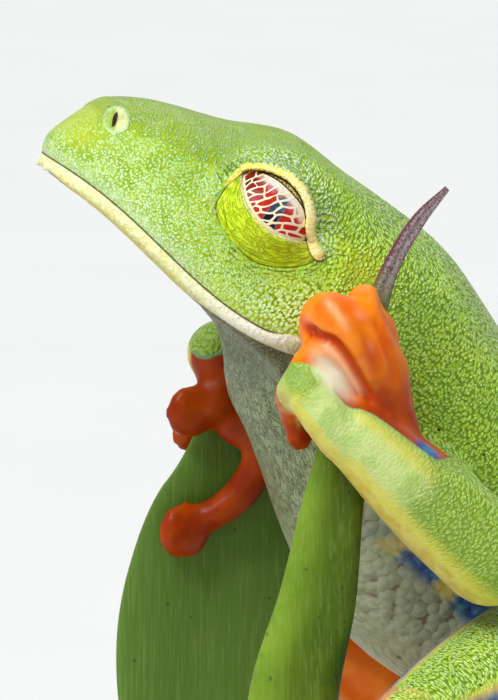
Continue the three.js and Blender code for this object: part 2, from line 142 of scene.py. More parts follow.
def tube(points, radii, flat=1.0, thin=(1, 0, 0), sides=20, per_span=6):
    """A limb through points with a radius at each, rounded at both ends, squeezed along thin."""
    path = smooth_curve(np.column_stack([points, radii]), per_span * (len(points) - 1) + 1)
    centre, size = path[:, :3], path[:, 3]
    heading = directions(centre)
    stations = [(centre[i], i, 1) for i in range(len(path))]
    for share in (0.9, 0.65, 0.3):
        reach = (1 - share * share) ** 0.5
        stations.insert(0, (centre[0] - heading[0] * size[0] * reach, 0, share))
        stations.append((centre[-1] + heading[-1] * size[-1] * reach, -1, share))
    angle = np.linspace(0, 2 * np.pi, sides, endpoint=False)
    rings = []
    for place, i, share in stations:
        depth = np.array(thin) - heading[i] * np.dot(thin, heading[i])
        depth /= np.linalg.norm(depth)
        breadth = np.cross(heading[i], depth)
        deep = size[i] * share * flat * np.outer(np.cos(angle), depth)
        rings.append(place + deep + size[i] * share * np.outer(np.sin(angle), breadth))
    return loft(rings)


def ball(centre, radii, facing=(0, 0, 1), rows=12):
    """A ball or a disc: radii are along facing, and across it."""
    facing = np.array(facing, float) / np.linalg.norm(facing)
    across = np.cross(facing, (0.3, 0.9, 0.1))
    across /= np.linalg.norm(across)
    other = np.cross(facing, across)
    angle = np.linspace(0, 2 * np.pi, 2 * rows, endpoint=False)
    rings = []
    for rise in np.linspace(-np.pi / 2, np.pi / 2, rows + 1)[1:-1]:
        circle = np.outer(np.cos(angle), across) + np.outer(np.sin(angle), other)
        rings.append(centre + facing * radii[0] * np.sin(rise) + radii[1] * np.cos(rise) * circle)
    return loft(rings)


# %% Objects and modifiers
def make_object(name, parts):
    """One object of several closed lofts, from millimetres off the snout to metres."""
    verts, faces, start = [], [], 0
    for part_verts, part_faces in parts:
        verts.append(part_verts)
        faces += [tuple(start + i for i in face) for face in part_faces]
        start += len(part_verts)
    mesh = bpy.data.meshes.new(name)
    mesh.from_pydata(((np.vstack(verts) + SNOUT) * MM).tolist(), [], faces)
    made = bpy.data.objects.new(name, mesh)
    bpy.context.collection.objects.link(made)
    return made


def use(obj):
    """Makes obj the one selected, active object."""
    bpy.ops.object.select_all(action="DESELECT")
    obj.select_set(True)
    bpy.context.view_layer.objects.active = obj


def bake_modifier(obj, kind, **settings):
    """Adds a modifier, sets it and applies it."""
    use(obj)
    modifier = obj.modifiers.new(kind.title(), kind)
    for key, value in settings.items():
        setattr(modifier, key, value)
    bpy.ops.object.modifier_apply(modifier=modifier.name)


def points_of(obj):
    """An object's points, in millimetres from the snout."""
    flat = np.empty(3 * len(obj.data.vertices))
    obj.data.vertices.foreach_get("co", flat)
    return flat.reshape(-1, 3) / MM - SNOUT


def move_points(obj, points):
    obj.data.vertices.foreach_set("co", ((points + SNOUT) * MM).ravel())
    obj.data.update()


def normals_of(obj):
    flat = np.empty(3 * len(obj.data.vertices))
    obj.data.vertices.foreach_get("normal", flat)
    return flat.reshape(-1, 3)


def store(obj, name, values):
    """Keeps one number for each point, which a finish can read."""
    layer = obj.data.attributes.new(name, "FLOAT", "POINT")
    layer.data.foreach_set("value", np.asarray(values, np.float32))


def finish_piece(obj, nodes):
    """Shades a piece smoothly and says which solids of the frame it stands for."""
    use(obj)
    bpy.ops.object.shade_smooth()
    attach(obj, "root")
    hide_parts(*nodes)


# %% [markdown]
# ## Head and trunk
# The head is a wedge: flat-topped, blunt at the snout, widest at the angle of the jaw. The
# trunk is an egg that hangs from it. Both are one loft, so that the neck has no seam.

# %% Head outlines
MOUTH_DROP = 3.0
MOUTH_LENGTH = 16.0
LIP_DEPTH = 1.15
JAW_ANGLE = 19  # how far behind the snout the jaw's angle lies
HEAD_WIDEST = 21
CROWN = [  # how high the middle of the head is, going back from the snout
    (0, 0.3), (0.12, 1.1), (0.28, 1.7), (0.5, 2.3), (0.85, 3.05), (1.4, 4.15), (2.0, 5.3), (2.7, 6.05),
    (3.4, 6.45), (4.7, 7.0), (6.8, 7.55), (9.0, 8.0), (10.8, 8.45), (12.8, 9.2), (14.6, 9.65), (16.3, 9.55),
    (18.1, 9.25), (20.0, 8.95),
]
crown_line = smooth_curve([(behind, above, 0) for behind, above in CROWN], 200)


def lip_half_width(behind):
    return 10.9 * (1 - np.maximum(0, 1 - behind / HEAD_WIDEST) ** 1.8) ** 0.51


def crown_height(behind):
    return np.interp(behind, crown_line[:, 0], crown_line[:, 1])


def mouth_height(behind):
    return 0.3 - MOUTH_DROP / 2 * (1 - np.cos(np.pi * behind / MOUTH_LENGTH))


def throat_height(behind):
    return mouth_height(behind) - 0.62 * LIP_DEPTH - 0.0024 * max(0, behind - 11) ** 3


def jaw_lift(behind, side):
    """The mouth is held a little higher on the right, where no hand rests against it."""
    return 0.085 * np.maximum(0, -side) * ramp(behind, 3.5, 8.0) * (1 - ramp(behind, 14.5, 19.0))


def jaw_height(behind, side):
    return mouth_height(np.clip(behind, 0, JAW_ANGLE)) + jaw_lift(behind, side)


def mouth_line(behind, side):
    """Height of the line between the lips, which turns up at the angle of the jaw."""
    rise = 0.25 * ramp(behind, 16.3, 18.3) + 0.9 * ramp(behind, 17.3, 19.3)
    return jaw_height(behind, side) + rise


def outline(top, side, bottom, count=60):
    """A closed outline through its top, its side's points and its bottom, seen from behind."""
    knots = [(0, top), *side, (0, bottom), *[(-x, u) for x, u in reversed(side)]]
    return smooth_curve([(x, u, 0) for x, u in knots], count, closed=True)[:, :2]


def head_ring(behind):
    wide = lip_half_width(behind)
    mouth = mouth_height(behind)
    throat = throat_height(behind)
    side = [
        (wide * (0.72 - 0.004 * behind), mouth + 0.78 * (crown_height(behind) - mouth)),
        (wide, mouth),
        (wide * 0.93, mouth - 0.85 * LIP_DEPTH),
        (wide * 0.82, mouth - LIP_DEPTH + 0.1 + min(0, throat - mouth + 0.72)),
        (wide * 0.5, throat),
    ]
    overhang = 0.55 * max(0, 1 - behind / 4)
    section = outline(crown_height(behind), side, throat)
    low = 1 - ramp(section[:, 1], mouth + 0.5, mouth + 4.0)
    section[:, 1] += low * jaw_lift(behind, section[:, 0])
    return [head_point(x, behind - overhang * ramp(u, 0, 1.5), u) for x, u in section]


# %% Trunk outlines and the body's loft
TRUNK = [  # back (y, z), belly (y, z), half width
    ((24.0, -3.8), (13.6, -17.6), 10.5),
    ((28.4, -7.4), (14.8, -20.4), 10.3),
    ((31.4, -11.6), (16.0, -23.6), 10.8),
    ((34.2, -16.2), (17.4, -27.6), 11.5),
    ((37.0, -20.9), (19.4, -32.0), 11.5),
    ((39.7, -25.6), (23.0, -36.4), 10.6),
    ((42.0, -29.8), (28.2, -39.8), 9.0),
    ((43.7, -33.4), (33.6, -41.6), 6.8),
    ((44.6, -36.6), (38.6, -41.8), 4.3),
    ((44.2, -39.2), (42.0, -41.0), 1.5),
]


def trunk_ring(back, belly, half_width):
    high = np.array([0, *back])
    low = np.array([0, *belly])
    up = (high - low) / np.linalg.norm(high - low)
    depth = np.linalg.norm(high - low) / 2
    side = [
        (0.74 * half_width, 0.68 * depth),
        (half_width, 0),
        (0.84 * half_width, -0.56 * depth),
        (0.46 * half_width, -0.91 * depth),
    ]
    section = outline(depth, side, -depth)
    return [(high + low) / 2 + up * u + np.array([x, 0, 0]) for x, u in section]


head_stations = [0.04, 0.12, 0.28, 0.5, 0.8, 1.1, 1.5, 2, 2.7, 3.4, 4.3, *np.arange(5.2, 19.4, 1.0)]
rings = np.array([head_ring(behind) for behind in head_stations] + [trunk_ring(*row) for row in TRUNK])
dense = [smooth_curve(rings[:, j], 3 * len(rings)) for j in range(rings.shape[1])]
body_loft = loft(np.stack(dense, axis=1))
body_tree = BVHTree.FromPolygons([Vector(v) for v in body_loft[0]], body_loft[1])
print("body loft:", len(body_loft[0]), "points")

# %% [markdown]
# ## Arms, legs, fingers and toes
# A tree frog's fingers are thin with round flat pads. Each digit is a tube whose radius swells
# at the knuckles, ending in a disc. The near hand folds over its leaf, with three fingers
# behind it and the outer one hooked in front.

# %% Arms and hands
ARMS = {  # each digit has its points, its radii and its pad: middle, half thickness and radius, facing
    "left": {
        "joints": [(8.6, 22.8, -20.4), (17.5, 26.6, -25.4), (16.8, 17.6, -16.7)],
        "palm": ([(15.6, 20.5, -16.6), (15.5, 18.9, -13.0), (15.2, 17.7, -9.8)], (1.7, 2.3, 2.1), 0.55),
        "digits": [
            ([(16.9, 16.6, -16.6), (16.9, 15.2, -15.0), (15.9, 14.0, -13.4), (14.8, 13.5, -14.2),
              (14.0, 13.9, -15.8)],
             (1.9, 1.7, 1.55, 1.1, 0.9), ((13.7, 14.4, -16.7), (0.7, 1.55), (0.8, 0.7, 0.2))),
            ([(15.9, 20.2, -16.4), (16.7, 18.1, -12.4), (17.0, 16.8, -9.7), (16.6, 15.8, -8.45),
              (15.6, 15.3, -8.6), (14.4, 15.2, -9.8), (12.9, 15.8, -11.2)],
             (1.1, 1.3, 1.5, 1.6, 1.35, 1.1, 1.0), ((11.9, 17.2, -11.6), (0.6, 1.5), (1, 0, 0))),
            ([(15.7, 21.2, -16.7), (16.4, 19.6, -12.9), (16.5, 18.6, -10.2), (16.0, 18.0, -8.3),
              (14.9, 18.5, -7.8), (13.3, 19.1, -8.6), (12.0, 19.7, -10.3)],
             (1.0, 1.2, 1.3, 1.2, 1.05, 1.0, 1.0), ((11.8, 19.8, -10.8), (0.6, 1.4), (1, 0, 0))),
            ([(15.5, 21.3, -17.0), (15.8, 20.6, -14.4), (15.8, 20.2, -12.2), (15.4, 19.2, -10.2),
              (14.4, 19.3, -9.5), (13.0, 20.4, -10.2), (12.2, 20.9, -12.2)],
             (0.85, 1.0, 1.05, 1.05, 1.0, 0.9, 0.9), ((12.0, 21.0, -12.9), (0.6, 1.3), (1, 0, 0))),
        ],
        "web": ([(16.1, 19.4, -16.2), (16.8, 17.6, -13.4), (17.1, 16.4, -11.6), (16.8, 15.3, -10.8),
                 (15.8, 14.5, -11.2), (14.9, 13.9, -12.6)], (0.9, 0.75, 0.8, 0.9, 0.8, 0.8)),
    },
    "right": {
        "joints": [(-8.6, 22.8, -20.4), (-17.0, 26.6, -26.0), (-14.2, 16.2, -17.4)],
        "palm": ([(-14.0, 16.5, -17.2), (-12.9, 16.9, -19.6), (-12.2, 17.2, -22.0)], (2.4, 2.6, 2.0), 0.7),
        "digits": [
            ([(-12.6, 16.8, -19.8), (-11.9, 15.6, -20.6), (-12.0, 14.0, -21.0)],
             (1.4, 1.3, 1.1), ((-12.0, 13.5, -21.1), (0.95, 2.0), (1, 0.2, 0))),
            ([(-12.3, 17.2, -21.0), (-11.4, 18.6, -24.0), (-11.6, 16.9, -27.4), (-12.1, 13.6, -29.6)],
             (1.4, 1.35, 1.25, 1.1), ((-12.1, 13.0, -29.9), (1.0, 2.15), (1, 0.3, 0))),
            ([(-12.8, 18.0, -19.4), (-14.0, 20.0, -21.2), (-15.4, 19.6, -23.4), (-15.6, 16.8, -25.6)],
             (1.3, 1.2, 1.1, 0.95), ((-15.6, 16.4, -25.9), (0.8, 1.7), (1, 0, 0))),
            ([(-13.4, 16.8, -18.4), (-15.2, 16.8, -18.8), (-15.8, 15.8, -21.2), (-15.5, 14.6, -23.2)],
             (1.3, 1.15, 1.0, 0.9), ((-15.5, 14.5, -23.5), (0.75, 1.6), (1, 0, 0))),
        ],
        "web": ([(-12.2, 17.6, -22.0), (-12.0, 16.4, -20.4), (-12.0, 15.4, -20.4)], (0.9, 0.9, 0.9)),
    },
}
THUMB_HOLLOW = np.array([16.1, 15.7, -12.8])  # filled by a ball, beside the near thumb


def digit(path, radii, pad):
    centre, size, facing = pad
    return [tube(path, radii, sides=16), ball(np.array(centre), size, facing)]


def arm_parts(side):
    shoulder, elbow, wrist = [np.array(joint) for joint in ARMS[side]["joints"]]
    points, radii, flat = ARMS[side]["palm"]
    parts = [
        tube([shoulder, (shoulder + elbow) / 2, elbow], (3.2, 3.1, 2.9)),
        tube([elbow, (elbow + wrist) / 2, wrist], (3.4, 3.2, 2.45)),
        tube(points, radii, flat=flat),
    ]
    for row in ARMS[side]["digits"]:
        parts += digit(*row)
    parts.append(tube(*ARMS[side]["web"], sides=14))
    return parts


# %% Legs and feet
LEG = {
    "hip": (5.5, 38.0, -35.6),
    "knee": (26.0, 18.0, -34.5),
    "ankle": (14.6, 40.0, -52.4),
    "heel": (14.6, 24.6, -56.8),
    "toes": (13.7, 20.6, -56.8),
}
TOES = [  # points, radius and the pad's radius
    ([(14.2, 22.6, -55.9), (16.6, 20.0, -53.4), (17.0, 16.6, -51.2), (16.7, 13.6, -50.2)], 1.0, 1.6),
    ([(14.8, 22.4, -56.6), (17.0, 19.6, -55.8), (16.9, 16.0, -54.6), (16.3, 12.6, -54.0)], 1.1, 1.75),
    ([(14.6, 22.2, -57.4), (16.4, 19.8, -58.6), (16.2, 16.6, -58.6), (15.6, 13.8, -58.4)], 1.05, 1.6),
    ([(13.2, 22.0, -56.2), (11.4, 19.6, -55.0), (11.2, 16.8, -54.0), (11.6, 14.4, -53.6)], 0.95, 1.4),
    ([(13.4, 22.2, -57.2), (11.0, 20.2, -58.2), (10.3, 17.8, -58.4), (10.3, 15.6, -58.2)], 0.95, 1.4),
]


def leg_joints(mirror):
    return [np.array(place) * mirror for place in LEG.values()]


def leg_parts(mirror):
    hip, knee, ankle, heel, toes = leg_joints(mirror)

    def along(start, end, *shares):
        return [start + (end - start) * share for share in shares]

    parts = [
        tube(along(hip, knee, 0, 0.35, 0.7, 1), (4.2, 5.2, 4.2, 2.7)),
        tube(along(knee, ankle, 0, 0.35, 0.7, 1), (2.6, 3.6, 2.8, 1.9)),
        tube(along(ankle, heel, 0, 0.5, 1), (2.0, 1.9, 1.75)),
        tube(along(heel, toes, 0, 0.5, 1), (1.9, 2.3, 2.4), flat=0.8, thin=(0, 0, 1)),
    ]
    for path, radius, pad in TOES:
        points = np.array(path) * mirror
        radii = radius * np.array([1.1, 1.0, 0.9, 0.75])
        parts += digit(points, radii, (points[-1], (0.45 * pad, pad), (1, 0, 0)))
    return parts


# %% [markdown]
# ## One skin
# All those tubes overlap, so a voxel remesh melts them into one closed surface, the way skin
# runs over a real frog with no seams. A few rounds of smoothing that keep the volume then take
# the steps out, and the head, the eyes and the near arm are divided more finely, because
# that is where the small folds are.

# %% Smoothing and dividing
def edges_of(obj):
    pairs = np.empty(2 * len(obj.data.edges), int)
    obj.data.edges.foreach_get("vertices", pairs)
    return pairs.reshape(-1, 2)


def neighbour_mean(values, edges):
    """For each point, the mean of the values at the points that share an edge with it."""
    first, second = edges.T
    total = np.zeros_like(values)
    for k in range(values.shape[1]):
        total[:, k] = np.bincount(first, values[second, k], len(values))
        total[:, k] += np.bincount(second, values[first, k], len(values))
    return total / np.bincount(edges.ravel(), minlength=len(values))[:, None]


def relax(obj, rounds, where=None):
    """Smooths a surface but keeps its volume: each round shrinks it, then swells it back."""
    points, edges = points_of(obj), edges_of(obj)
    weight = 1.0 if where is None else where(points)[:, None]
    for _ in range(rounds):
        for pull in (0.5, -0.52):
            points += pull * weight * (neighbour_mean(points, edges) - points)
    move_points(obj, points)


def divide(obj, where):
    """Cuts each face whose corners are all where() says into four."""
    chosen = where(points_of(obj))
    use(obj)
    bpy.ops.object.mode_set(mode="EDIT")
    bpy.ops.mesh.select_all(action="DESELECT")
    bpy.ops.object.mode_set(mode="OBJECT")
    obj.data.vertices.foreach_set("select", chosen)
    flags = [all(chosen[i] for i in face.vertices) for face in obj.data.polygons]
    obj.data.polygons.foreach_set("select", flags)
    bpy.ops.object.mode_set(mode="EDIT")
    bpy.ops.mesh.select_mode(type="FACE")
    bpy.ops.mesh.subdivide(number_cuts=1)
    bpy.ops.object.mode_set(mode="OBJECT")


def in_head(points):
    behind, above, _ = head_place(points)
    return (behind < 20.5) & (above > -7.5) & (points[:, 1] < 19.5)


def in_near_arm(points):
    x, y, z = points.T
    return (x > 12.6) & (z > -27) & (z < -5) & (y < 29)


def in_far_fingers_or_toes(points):
    x, y, z = points.T
    return ((x < -9) & (z < -18) & (z > -33) & (y < 22)) | (z < -48)


# %% Melt the parts into one skin
VOXEL = 0.47
EYE_RADIUS = 3.5
LID_RADIUS = 3.8
EYE = head_point(6.3, 13.8, 3.6)
NOSTRIL = head_point(2.4, 2.65, 4.75)

skin_parts = [body_loft] + arm_parts("left") + arm_parts("right") + leg_parts(MIRROR**2) + leg_parts(MIRROR)
skin_parts += [ball(EYE, (LID_RADIUS, LID_RADIUS), rows=24)]
skin_parts += [ball(THUMB_HOLLOW, (1.15, 1.15))]
skin_parts += [ball(EYE * MIRROR, (LID_RADIUS, LID_RADIUS), rows=24)]
skin = make_object("frog_skin", skin_parts)
bake_modifier(skin, "REMESH", mode="VOXEL", voxel_size=VOXEL * MM)
print("skin after melting:", len(skin.data.vertices), "points")
relax(skin, 8)
relax(skin, 8, where=in_far_fingers_or_toes)
divide(skin, lambda points: in_head(points) | in_near_arm(points))
relax(skin, 4)
print("skin after the first dividing:", len(skin.data.vertices), "points")

# %% [markdown]
# ## The eye's own plane
# The lids are laid out on a flat plane that faces the way the eye looks: across and up, in
# millimetres from the eye's centre. The right eye is the left one mirrored.

# %% Lid and hand outlines
EYE_ACROSS = np.array([0.259, 0.966, 0.0])
EYE_UP = np.array([-0.2008, 0.0538, 0.978])
EYE_OUT = np.cross(EYE_ACROSS, EYE_UP)

SLIT_CENTRE = np.array([0.83, 0.76])  # the opening between the lids: an almond, leaning back
SLIT_LONG = np.array([0.679, -0.734])
SLIT_SHORT = np.array([0.734, 0.679])
SLIT_HALF = 3.03
SLIT_UPPER = 1.49
SLIT_LOWER = 1.34

UPPER_RIM = [  # across, up, half width of the ridge
    (-2.42, 2.20, 0.08), (-1.74, 2.92, 0.17), (-1.10, 3.40, 0.21), (-0.34, 3.45, 0.21), (0.62, 3.29, 0.22),
    (1.54, 2.93, 0.27), (2.27, 2.39, 0.29), (2.87, 1.60, 0.30), (3.15, 0.87, 0.31), (3.29, 0.06, 0.32),
    (3.24, -0.78, 0.31), (3.39, -1.52, 0.34), (3.66, -2.12, 0.42), (3.85, -2.40, 0.42),
]
LOWER_CREASE = [  # the fold round the lower lid, from the rim's inner corner
    (-1.12, 3.12), (-1.60, 2.81), (-2.27, 2.23), (-2.77, 1.47), (-3.03, 0.89), (-2.90, 0.02),
    (-2.42, -0.87), (-2.02, -1.46), (-1.18, -2.38), (-0.34, -2.97), (0.66, -3.22), (1.25, -3.27),
    (2.26, -3.26), (3.09, -3.05), (3.55, -2.78),
]
INNER_CREASE = [
    (-2.52, 0.60), (-2.36, -0.30), (-2.02, -1.00), (-1.40, -1.80), (-0.60, -2.45), (0.40, -2.85),
    (1.40, -2.98), (2.40, -2.88), (3.20, -2.62),
]
REAR_CREASE = [(3.60, -2.80), (4.00, -2.86), (4.45, -2.66), (5.10, -2.42), (5.60, -2.50)]
BLACK_LINE = [  # across the eyeball, where the clear lid ends
    (0.05, 3.14), (0.64, 2.86), (1.20, 2.51), (1.75, 2.03), (2.25, 1.50), (2.68, 0.95),
    (2.90, 0.48), (2.98, 0.0),
]
LID_CORNER = (-3.10, 0.46)

HAND = np.array([16.9, 17.5, -10.8])  # the back of the near hand, laid out on the same plane
HAND_CREASES = [  # each with its depth and half width
    ([(-3.67, 1.83), (-3.39, 1.5), (-2.73, 0.95), (-1.63, 0.51), (-0.75, -0.48), (0.02, -1.8), (0.68, -3.12),
      (1.13, -4.01)], 0.42, 0.32),
    ([(-1.08, 3.16), (-0.75, 2.38), (-0.2, 1.61), (0.46, 0.62), (1.02, -0.48), (1.5, -1.9)], 0.16, 0.40),
    ([(0.9, 2.4), (1.25, 1.61), (1.79, 0.62), (2.12, -0.26), (2.39, -1.36), (2.56, -2.68)], 0.20, 0.34),
    ([(-3.0, -0.5), (-2.4, -0.55), (-1.85, -0.95), (-1.0, -1.6), (-0.3, -2.6), (0.5, -3.7)], 0.12, 0.24),
]
HAND_HIGHLIGHT_RIDGES = [  # raised ridges over the bones, painted with pale highlight streaks
    ([(-2.61, 0.49), (-1.98, 0.09), (-1.25, -0.57), (-0.39, -1.89), (0.5, -3.28)], 0.12, 0.27),
    ([(-2.38, 3.46), (-1.65, 2.67), (-1.06, 1.88), (-0.53, 0.82)], 0.08, 0.34),
    ([(-0.2, 2.74), (0.2, 2.21), (0.6, 1.61)], 0.08, 0.30),
    ([(0.7, 0.69), (0.86, 0.09), (1.06, -0.5)], 0.06, 0.22),
]
CRACKS = [  # two fine creases behind the near hand, back and up from the snout
    [(22.0, -7.85), (22.45, -8.3), (22.5, -8.7), (22.66, -9.15), (22.6, -9.45), (22.3, -9.85), (21.9, -10.5),
     (21.6, -10.9)],
    [(22.9, -8.4), (22.5, -8.75)],
]


# %% Measuring on the eye's plane
def face_plane(points, middle):
    """Across, up and out from a place on the face, or from its mirror image if that is nearer."""
    places = points.copy()
    places[:, 0] = np.abs(places[:, 0])
    places = places - middle
    return places @ EYE_ACROSS, places @ EYE_UP, places @ EYE_OUT


def hand_plane(points):
    return [(points - HAND) @ axis for axis in (EYE_ACROSS, EYE_UP, EYE_OUT)]


def slit_place(across, up):
    """Along the almond, and the signed distances outside its upper and lower edges."""
    places = np.stack([across, up], axis=1) - SLIT_CENTRE
    along, short = places @ SLIT_LONG, places @ SLIT_SHORT
    upper_radius = (SLIT_HALF**2 + SLIT_UPPER**2) / (2 * SLIT_UPPER)
    lower_radius = (SLIT_HALF**2 + SLIT_LOWER**2) / (2 * SLIT_LOWER)
    upper = np.hypot(along, short - (SLIT_UPPER - upper_radius)) - upper_radius
    lower = np.hypot(along, short + (SLIT_LOWER - lower_radius)) - lower_radius
    return along, short, upper, lower


def to_line(across, up, line):
    """Signed distance to a drawn line (negative on its right), how far along it, and its width."""
    curve = smooth_curve([(x, y, 0, *rest) for x, y, *rest in line], 6 * len(line))
    width = curve[:, 3] if curve.shape[1] > 3 else np.zeros(len(curve))
    curve = curve[:, :2]
    steps = np.r_[0, np.cumsum(np.hypot(*np.diff(curve, axis=0).T))]
    places = np.stack([across, up], axis=1)
    best, along, wide = np.full(len(places), 1e9), np.zeros(len(places)), np.zeros(len(places))
    for i, start in enumerate(curve[:-1]):
        run = curve[i + 1] - start
        share = np.clip(((places - start) @ run) / (run @ run), 0, 1)
        gap = np.linalg.norm(places - start - share[:, None] * run, axis=1)
        turn = run[0] * (places[:, 1] - start[1]) - run[1] * (places[:, 0] - start[0])
        gap = np.where(turn < 0, -gap, gap)
        nearer = np.abs(gap) < np.abs(best)
        best[nearer] = gap[nearer]
        along[nearer] = (steps[i] + share * (steps[i + 1] - steps[i]))[nearer]
        wide[nearer] = (width[i] + share * (width[i + 1] - width[i]))[nearer]
    return best, along, wide


def near_eye(points, reach=4.6):
    across, up, out = face_plane(points, EYE)
    return (np.hypot(across, up) < reach) & (out > 0.8) & (out < 6)


def near_nostril(points):
    across, up, out = face_plane(points, NOSTRIL)
    return (np.hypot(across, up) < 1.5) & (np.abs(out) < 2.0)


def nostril_shape(across, up):
    """How far out in the nostril's ring, and in its slit, which leans: 1 is the edge of each."""
    ring = np.hypot(across / 0.85, up / 0.95)
    slit = np.hypot((across + 0.12 - 0.22 * up) / 0.17, (up - 0.03) / 0.60)
    return ring, slit


def on_near_hand(points):
    across, up, out = hand_plane(points)
    return (points[:, 0] > 14.8) & (np.hypot(across, up) < 6.5) & (out > -2.6)


def hand_lines(points, lines):
    """How strongly each point lies on some lines of the near hand, fading towards their ends."""
    across, up, _ = hand_plane(points)
    total = np.zeros(len(points))
    for line, deep, wide in lines:
        gap, run, _ = to_line(across, up, line)
        fade = ramp(run, -0.2, 0.8) * (1 - ramp(run, run.max() - 1.0, run.max()))
        total = np.maximum(total, np.where(on_near_hand(points), deep * hill(gap, wide) * fade, 0))
    return total


divide(skin, lambda points: near_eye(points) | near_nostril(points))
relax(skin, 3, where=lambda points: near_eye(points, 4.4) | near_nostril(points))
print("skin after the second dividing:", len(skin.data.vertices), "points")

# %% [markdown]
# ## Lids, nostrils and mouth
# Now the points of the skin are moved, as a sculptor's tool would: the upper lid gets its raised
# rim, the lower lid its folds, the mouth is pressed in as a thin line, the brow swells, the hand
# gets its creases, and the opening between the lids sinks behind the eyeball.

# %% Raise and press the skin
points = points_of(skin)
normals = normals_of(skin)
across, up, out = face_plane(points, EYE)
lower = slit_place(across, up)[3]
rim_side, _, rim_half = to_line(across, up, UPPER_RIM)
rim_gap = np.abs(rim_side)
crease_gap = to_line(across, up, LOWER_CREASE)[0]

lids = 0.34 * hill(rim_gap, 1.05 * rim_half + 0.02)
lids -= 0.15 * hill(crease_gap, 0.13) * ramp(rim_gap, 0.25, 0.5)
for line, deep in ((INNER_CREASE, 0.07), (REAR_CREASE, 0.12)):
    lids -= deep * hill(to_line(across, up, line)[0], 0.12)
lids -= np.where((lower > 0) & (rim_side < 0), 0.17 * hill(lower, 0.30), 0)
lids += np.where(rim_side > 0, 0.14 * ramp(rim_gap, 0.45, 0.8) * (1 - ramp(rim_gap, 0.8, 1.9)), 0)
facing = near_eye(points, 4.8)
raised = np.where(facing, lids, 0)

nose_across, nose_up, nose_out = face_plane(points, NOSTRIL)
nose_ring, nose_slit = nostril_shape(nose_across, nose_up)
nose = 0.12 * hill(nose_ring - 0.95, 0.2) - 0.42 * np.exp(-(nose_slit**2.5))
raised += np.where((np.abs(nose_out) < 2.0) & (nose_ring < 2), nose, 0)

behind, above, side = head_place(points)
lip = above - mouth_line(behind, points[:, 0])
at_side = side > 0.55 * lip_half_width(np.clip(behind, 0.01, HEAD_WIDEST))
on_lip = (behind > -1) & (behind < 18.5) & (above < 3) & (above > -6) & at_side
on_lip |= (behind < 2) & (behind > -1.5) & (above < 3) & (above > -3)
lips = (0.07 * hill(lip + 0.55, 0.4) - 0.13 * hill(lip, 0.14)) * (1 - ramp(behind, 16.5, 18.5))
raised += np.where(on_lip, lips, 0)
points += normals * raised[:, None]

behind, above, side = head_place(points)
on_brow = ramp(above, 5.5, 7.5) * ramp(behind, 9.5, 13.5) * (1 - ramp(behind, 17.5, 22.0))
points += np.outer(0.55 * on_brow * hill(side - 5.4, 1.7), UP)
creased = hand_lines(points, HAND_HIGHLIGHT_RIDGES) - hand_lines(points, HAND_CREASES)
points += normals * creased[:, None]

# %% Sink the opening behind the eyeball
SUNK_RADIUS = 3.1
across, up, out = face_plane(points, EYE)
lower = slit_place(across, up)[3]
rim_side, _, rim_half = to_line(across, up, UPPER_RIM)
slit_gap = np.maximum(lower, rim_side + 0.9 * rim_half)
sunk = facing & (slit_gap < 0.04)
floor_out = np.sqrt(np.clip(SUNK_RADIUS**2 - across**2 - up**2, 0.04, None))
pushed = (out - floor_out) * ramp(-slit_gap, -0.04, 0.05)
target = points.copy()
target[:, 0] = np.abs(target[:, 0])
target -= np.outer(np.clip(pushed, 0, None), EYE_OUT)
target[:, 0] *= np.sign(points[:, 0])
points[sunk] = target[sunk]
move_points(skin, points)
print("points sunk behind the eyes:", int(sunk.sum()))

# %% [markdown]
# ## Where each colour goes
# The finish is one material, but a frog has many: green above, cream below, blue flanks,
# orange hands. Each point of the skin stores smooth numbers, such as its distance above the
# mouth line. The material then cuts colour edges from them, which stay sharp however large
# the faces are.

# %% Places along the trunk and the limbs
points = points_of(skin)
normals = normals_of(skin)
behind, above, side = head_place(points)


def trunk_place(points):
    """How far along the trunk, how far up it from -1 to 1, and its half depth there."""
    high = np.array([[0, *row[0]] for row in TRUNK])
    low = np.array([[0, *row[1]] for row in TRUNK])
    flat = points * [0, 1, 1]
    best = np.full(len(points), 1e9)
    along, rise, depth = np.zeros(len(points)), np.zeros(len(points)), np.ones(len(points))
    for station in np.linspace(0, len(TRUNK) - 1, 60):
        i = min(int(station), len(TRUNK) - 2)
        bottom = low[i] + (station - i) * (low[i + 1] - low[i])
        span = high[i] + (station - i) * (high[i + 1] - high[i]) - bottom
        share = np.clip((flat - bottom) @ span / (span @ span), 0, 1)
        gap = np.linalg.norm(flat - bottom - share[:, None] * span, axis=1)
        nearer = gap < best
        best[nearer] = gap[nearer]
        along[nearer] = station / (len(TRUNK) - 1)
        rise[nearer] = 2 * share[nearer] - 1
        depth[nearer] = np.linalg.norm(span) / 2
    return along, rise, depth


def limb_place(start, end, top, radius):
    """Distance from a limb's surface, share along it, and the angle round it from its top."""
    start = np.array(start, float)
    run = np.array(end, float) - start
    length = np.linalg.norm(run)
    axis = run / length
    share = np.clip((points - start) @ axis / length, 0, 1)
    off = points - (start + share[:, None] * run)
    size = radius[0] + (radius[1] - radius[0]) * share
    crown = np.array(top, float) - axis * np.dot(top, axis)
    crown /= np.linalg.norm(crown)
    edge = np.cross(axis, crown)
    return np.linalg.norm(off, axis=1) - size, share, np.degrees(np.arctan2(off @ edge, off @ crown))


def away_from(middle, radius):
    return np.linalg.norm(points - np.array(middle), axis=1) - radius


def band(angle, low, high, soft=10):
    """1 between two angles round a limb, with soft edges."""
    return ramp(angle, low - soft, low + soft) * (1 - ramp(angle, high - soft, high + soft))


# %% Regions of the body
# deep: how far the orange turns dark red-orange, a tone on the legs and painted shade on the arms.
FIELDS = ("green", "orange", "blue", "cream", "deep", "pale")
CAMERA_SIDE = np.array([0.945, -0.253, 0.208])
NEAR, FAR = MIRROR**2, MIRROR
regions = []


def add_region(gap, **fields):
    """A part of the body: how far each point is from it, and what its colours are there."""
    zero = np.zeros(len(points))
    values = [zero + fields.get(key, -1 if key == "green" else 0) for key in FIELDS]
    regions.append([zero + gap] + values)


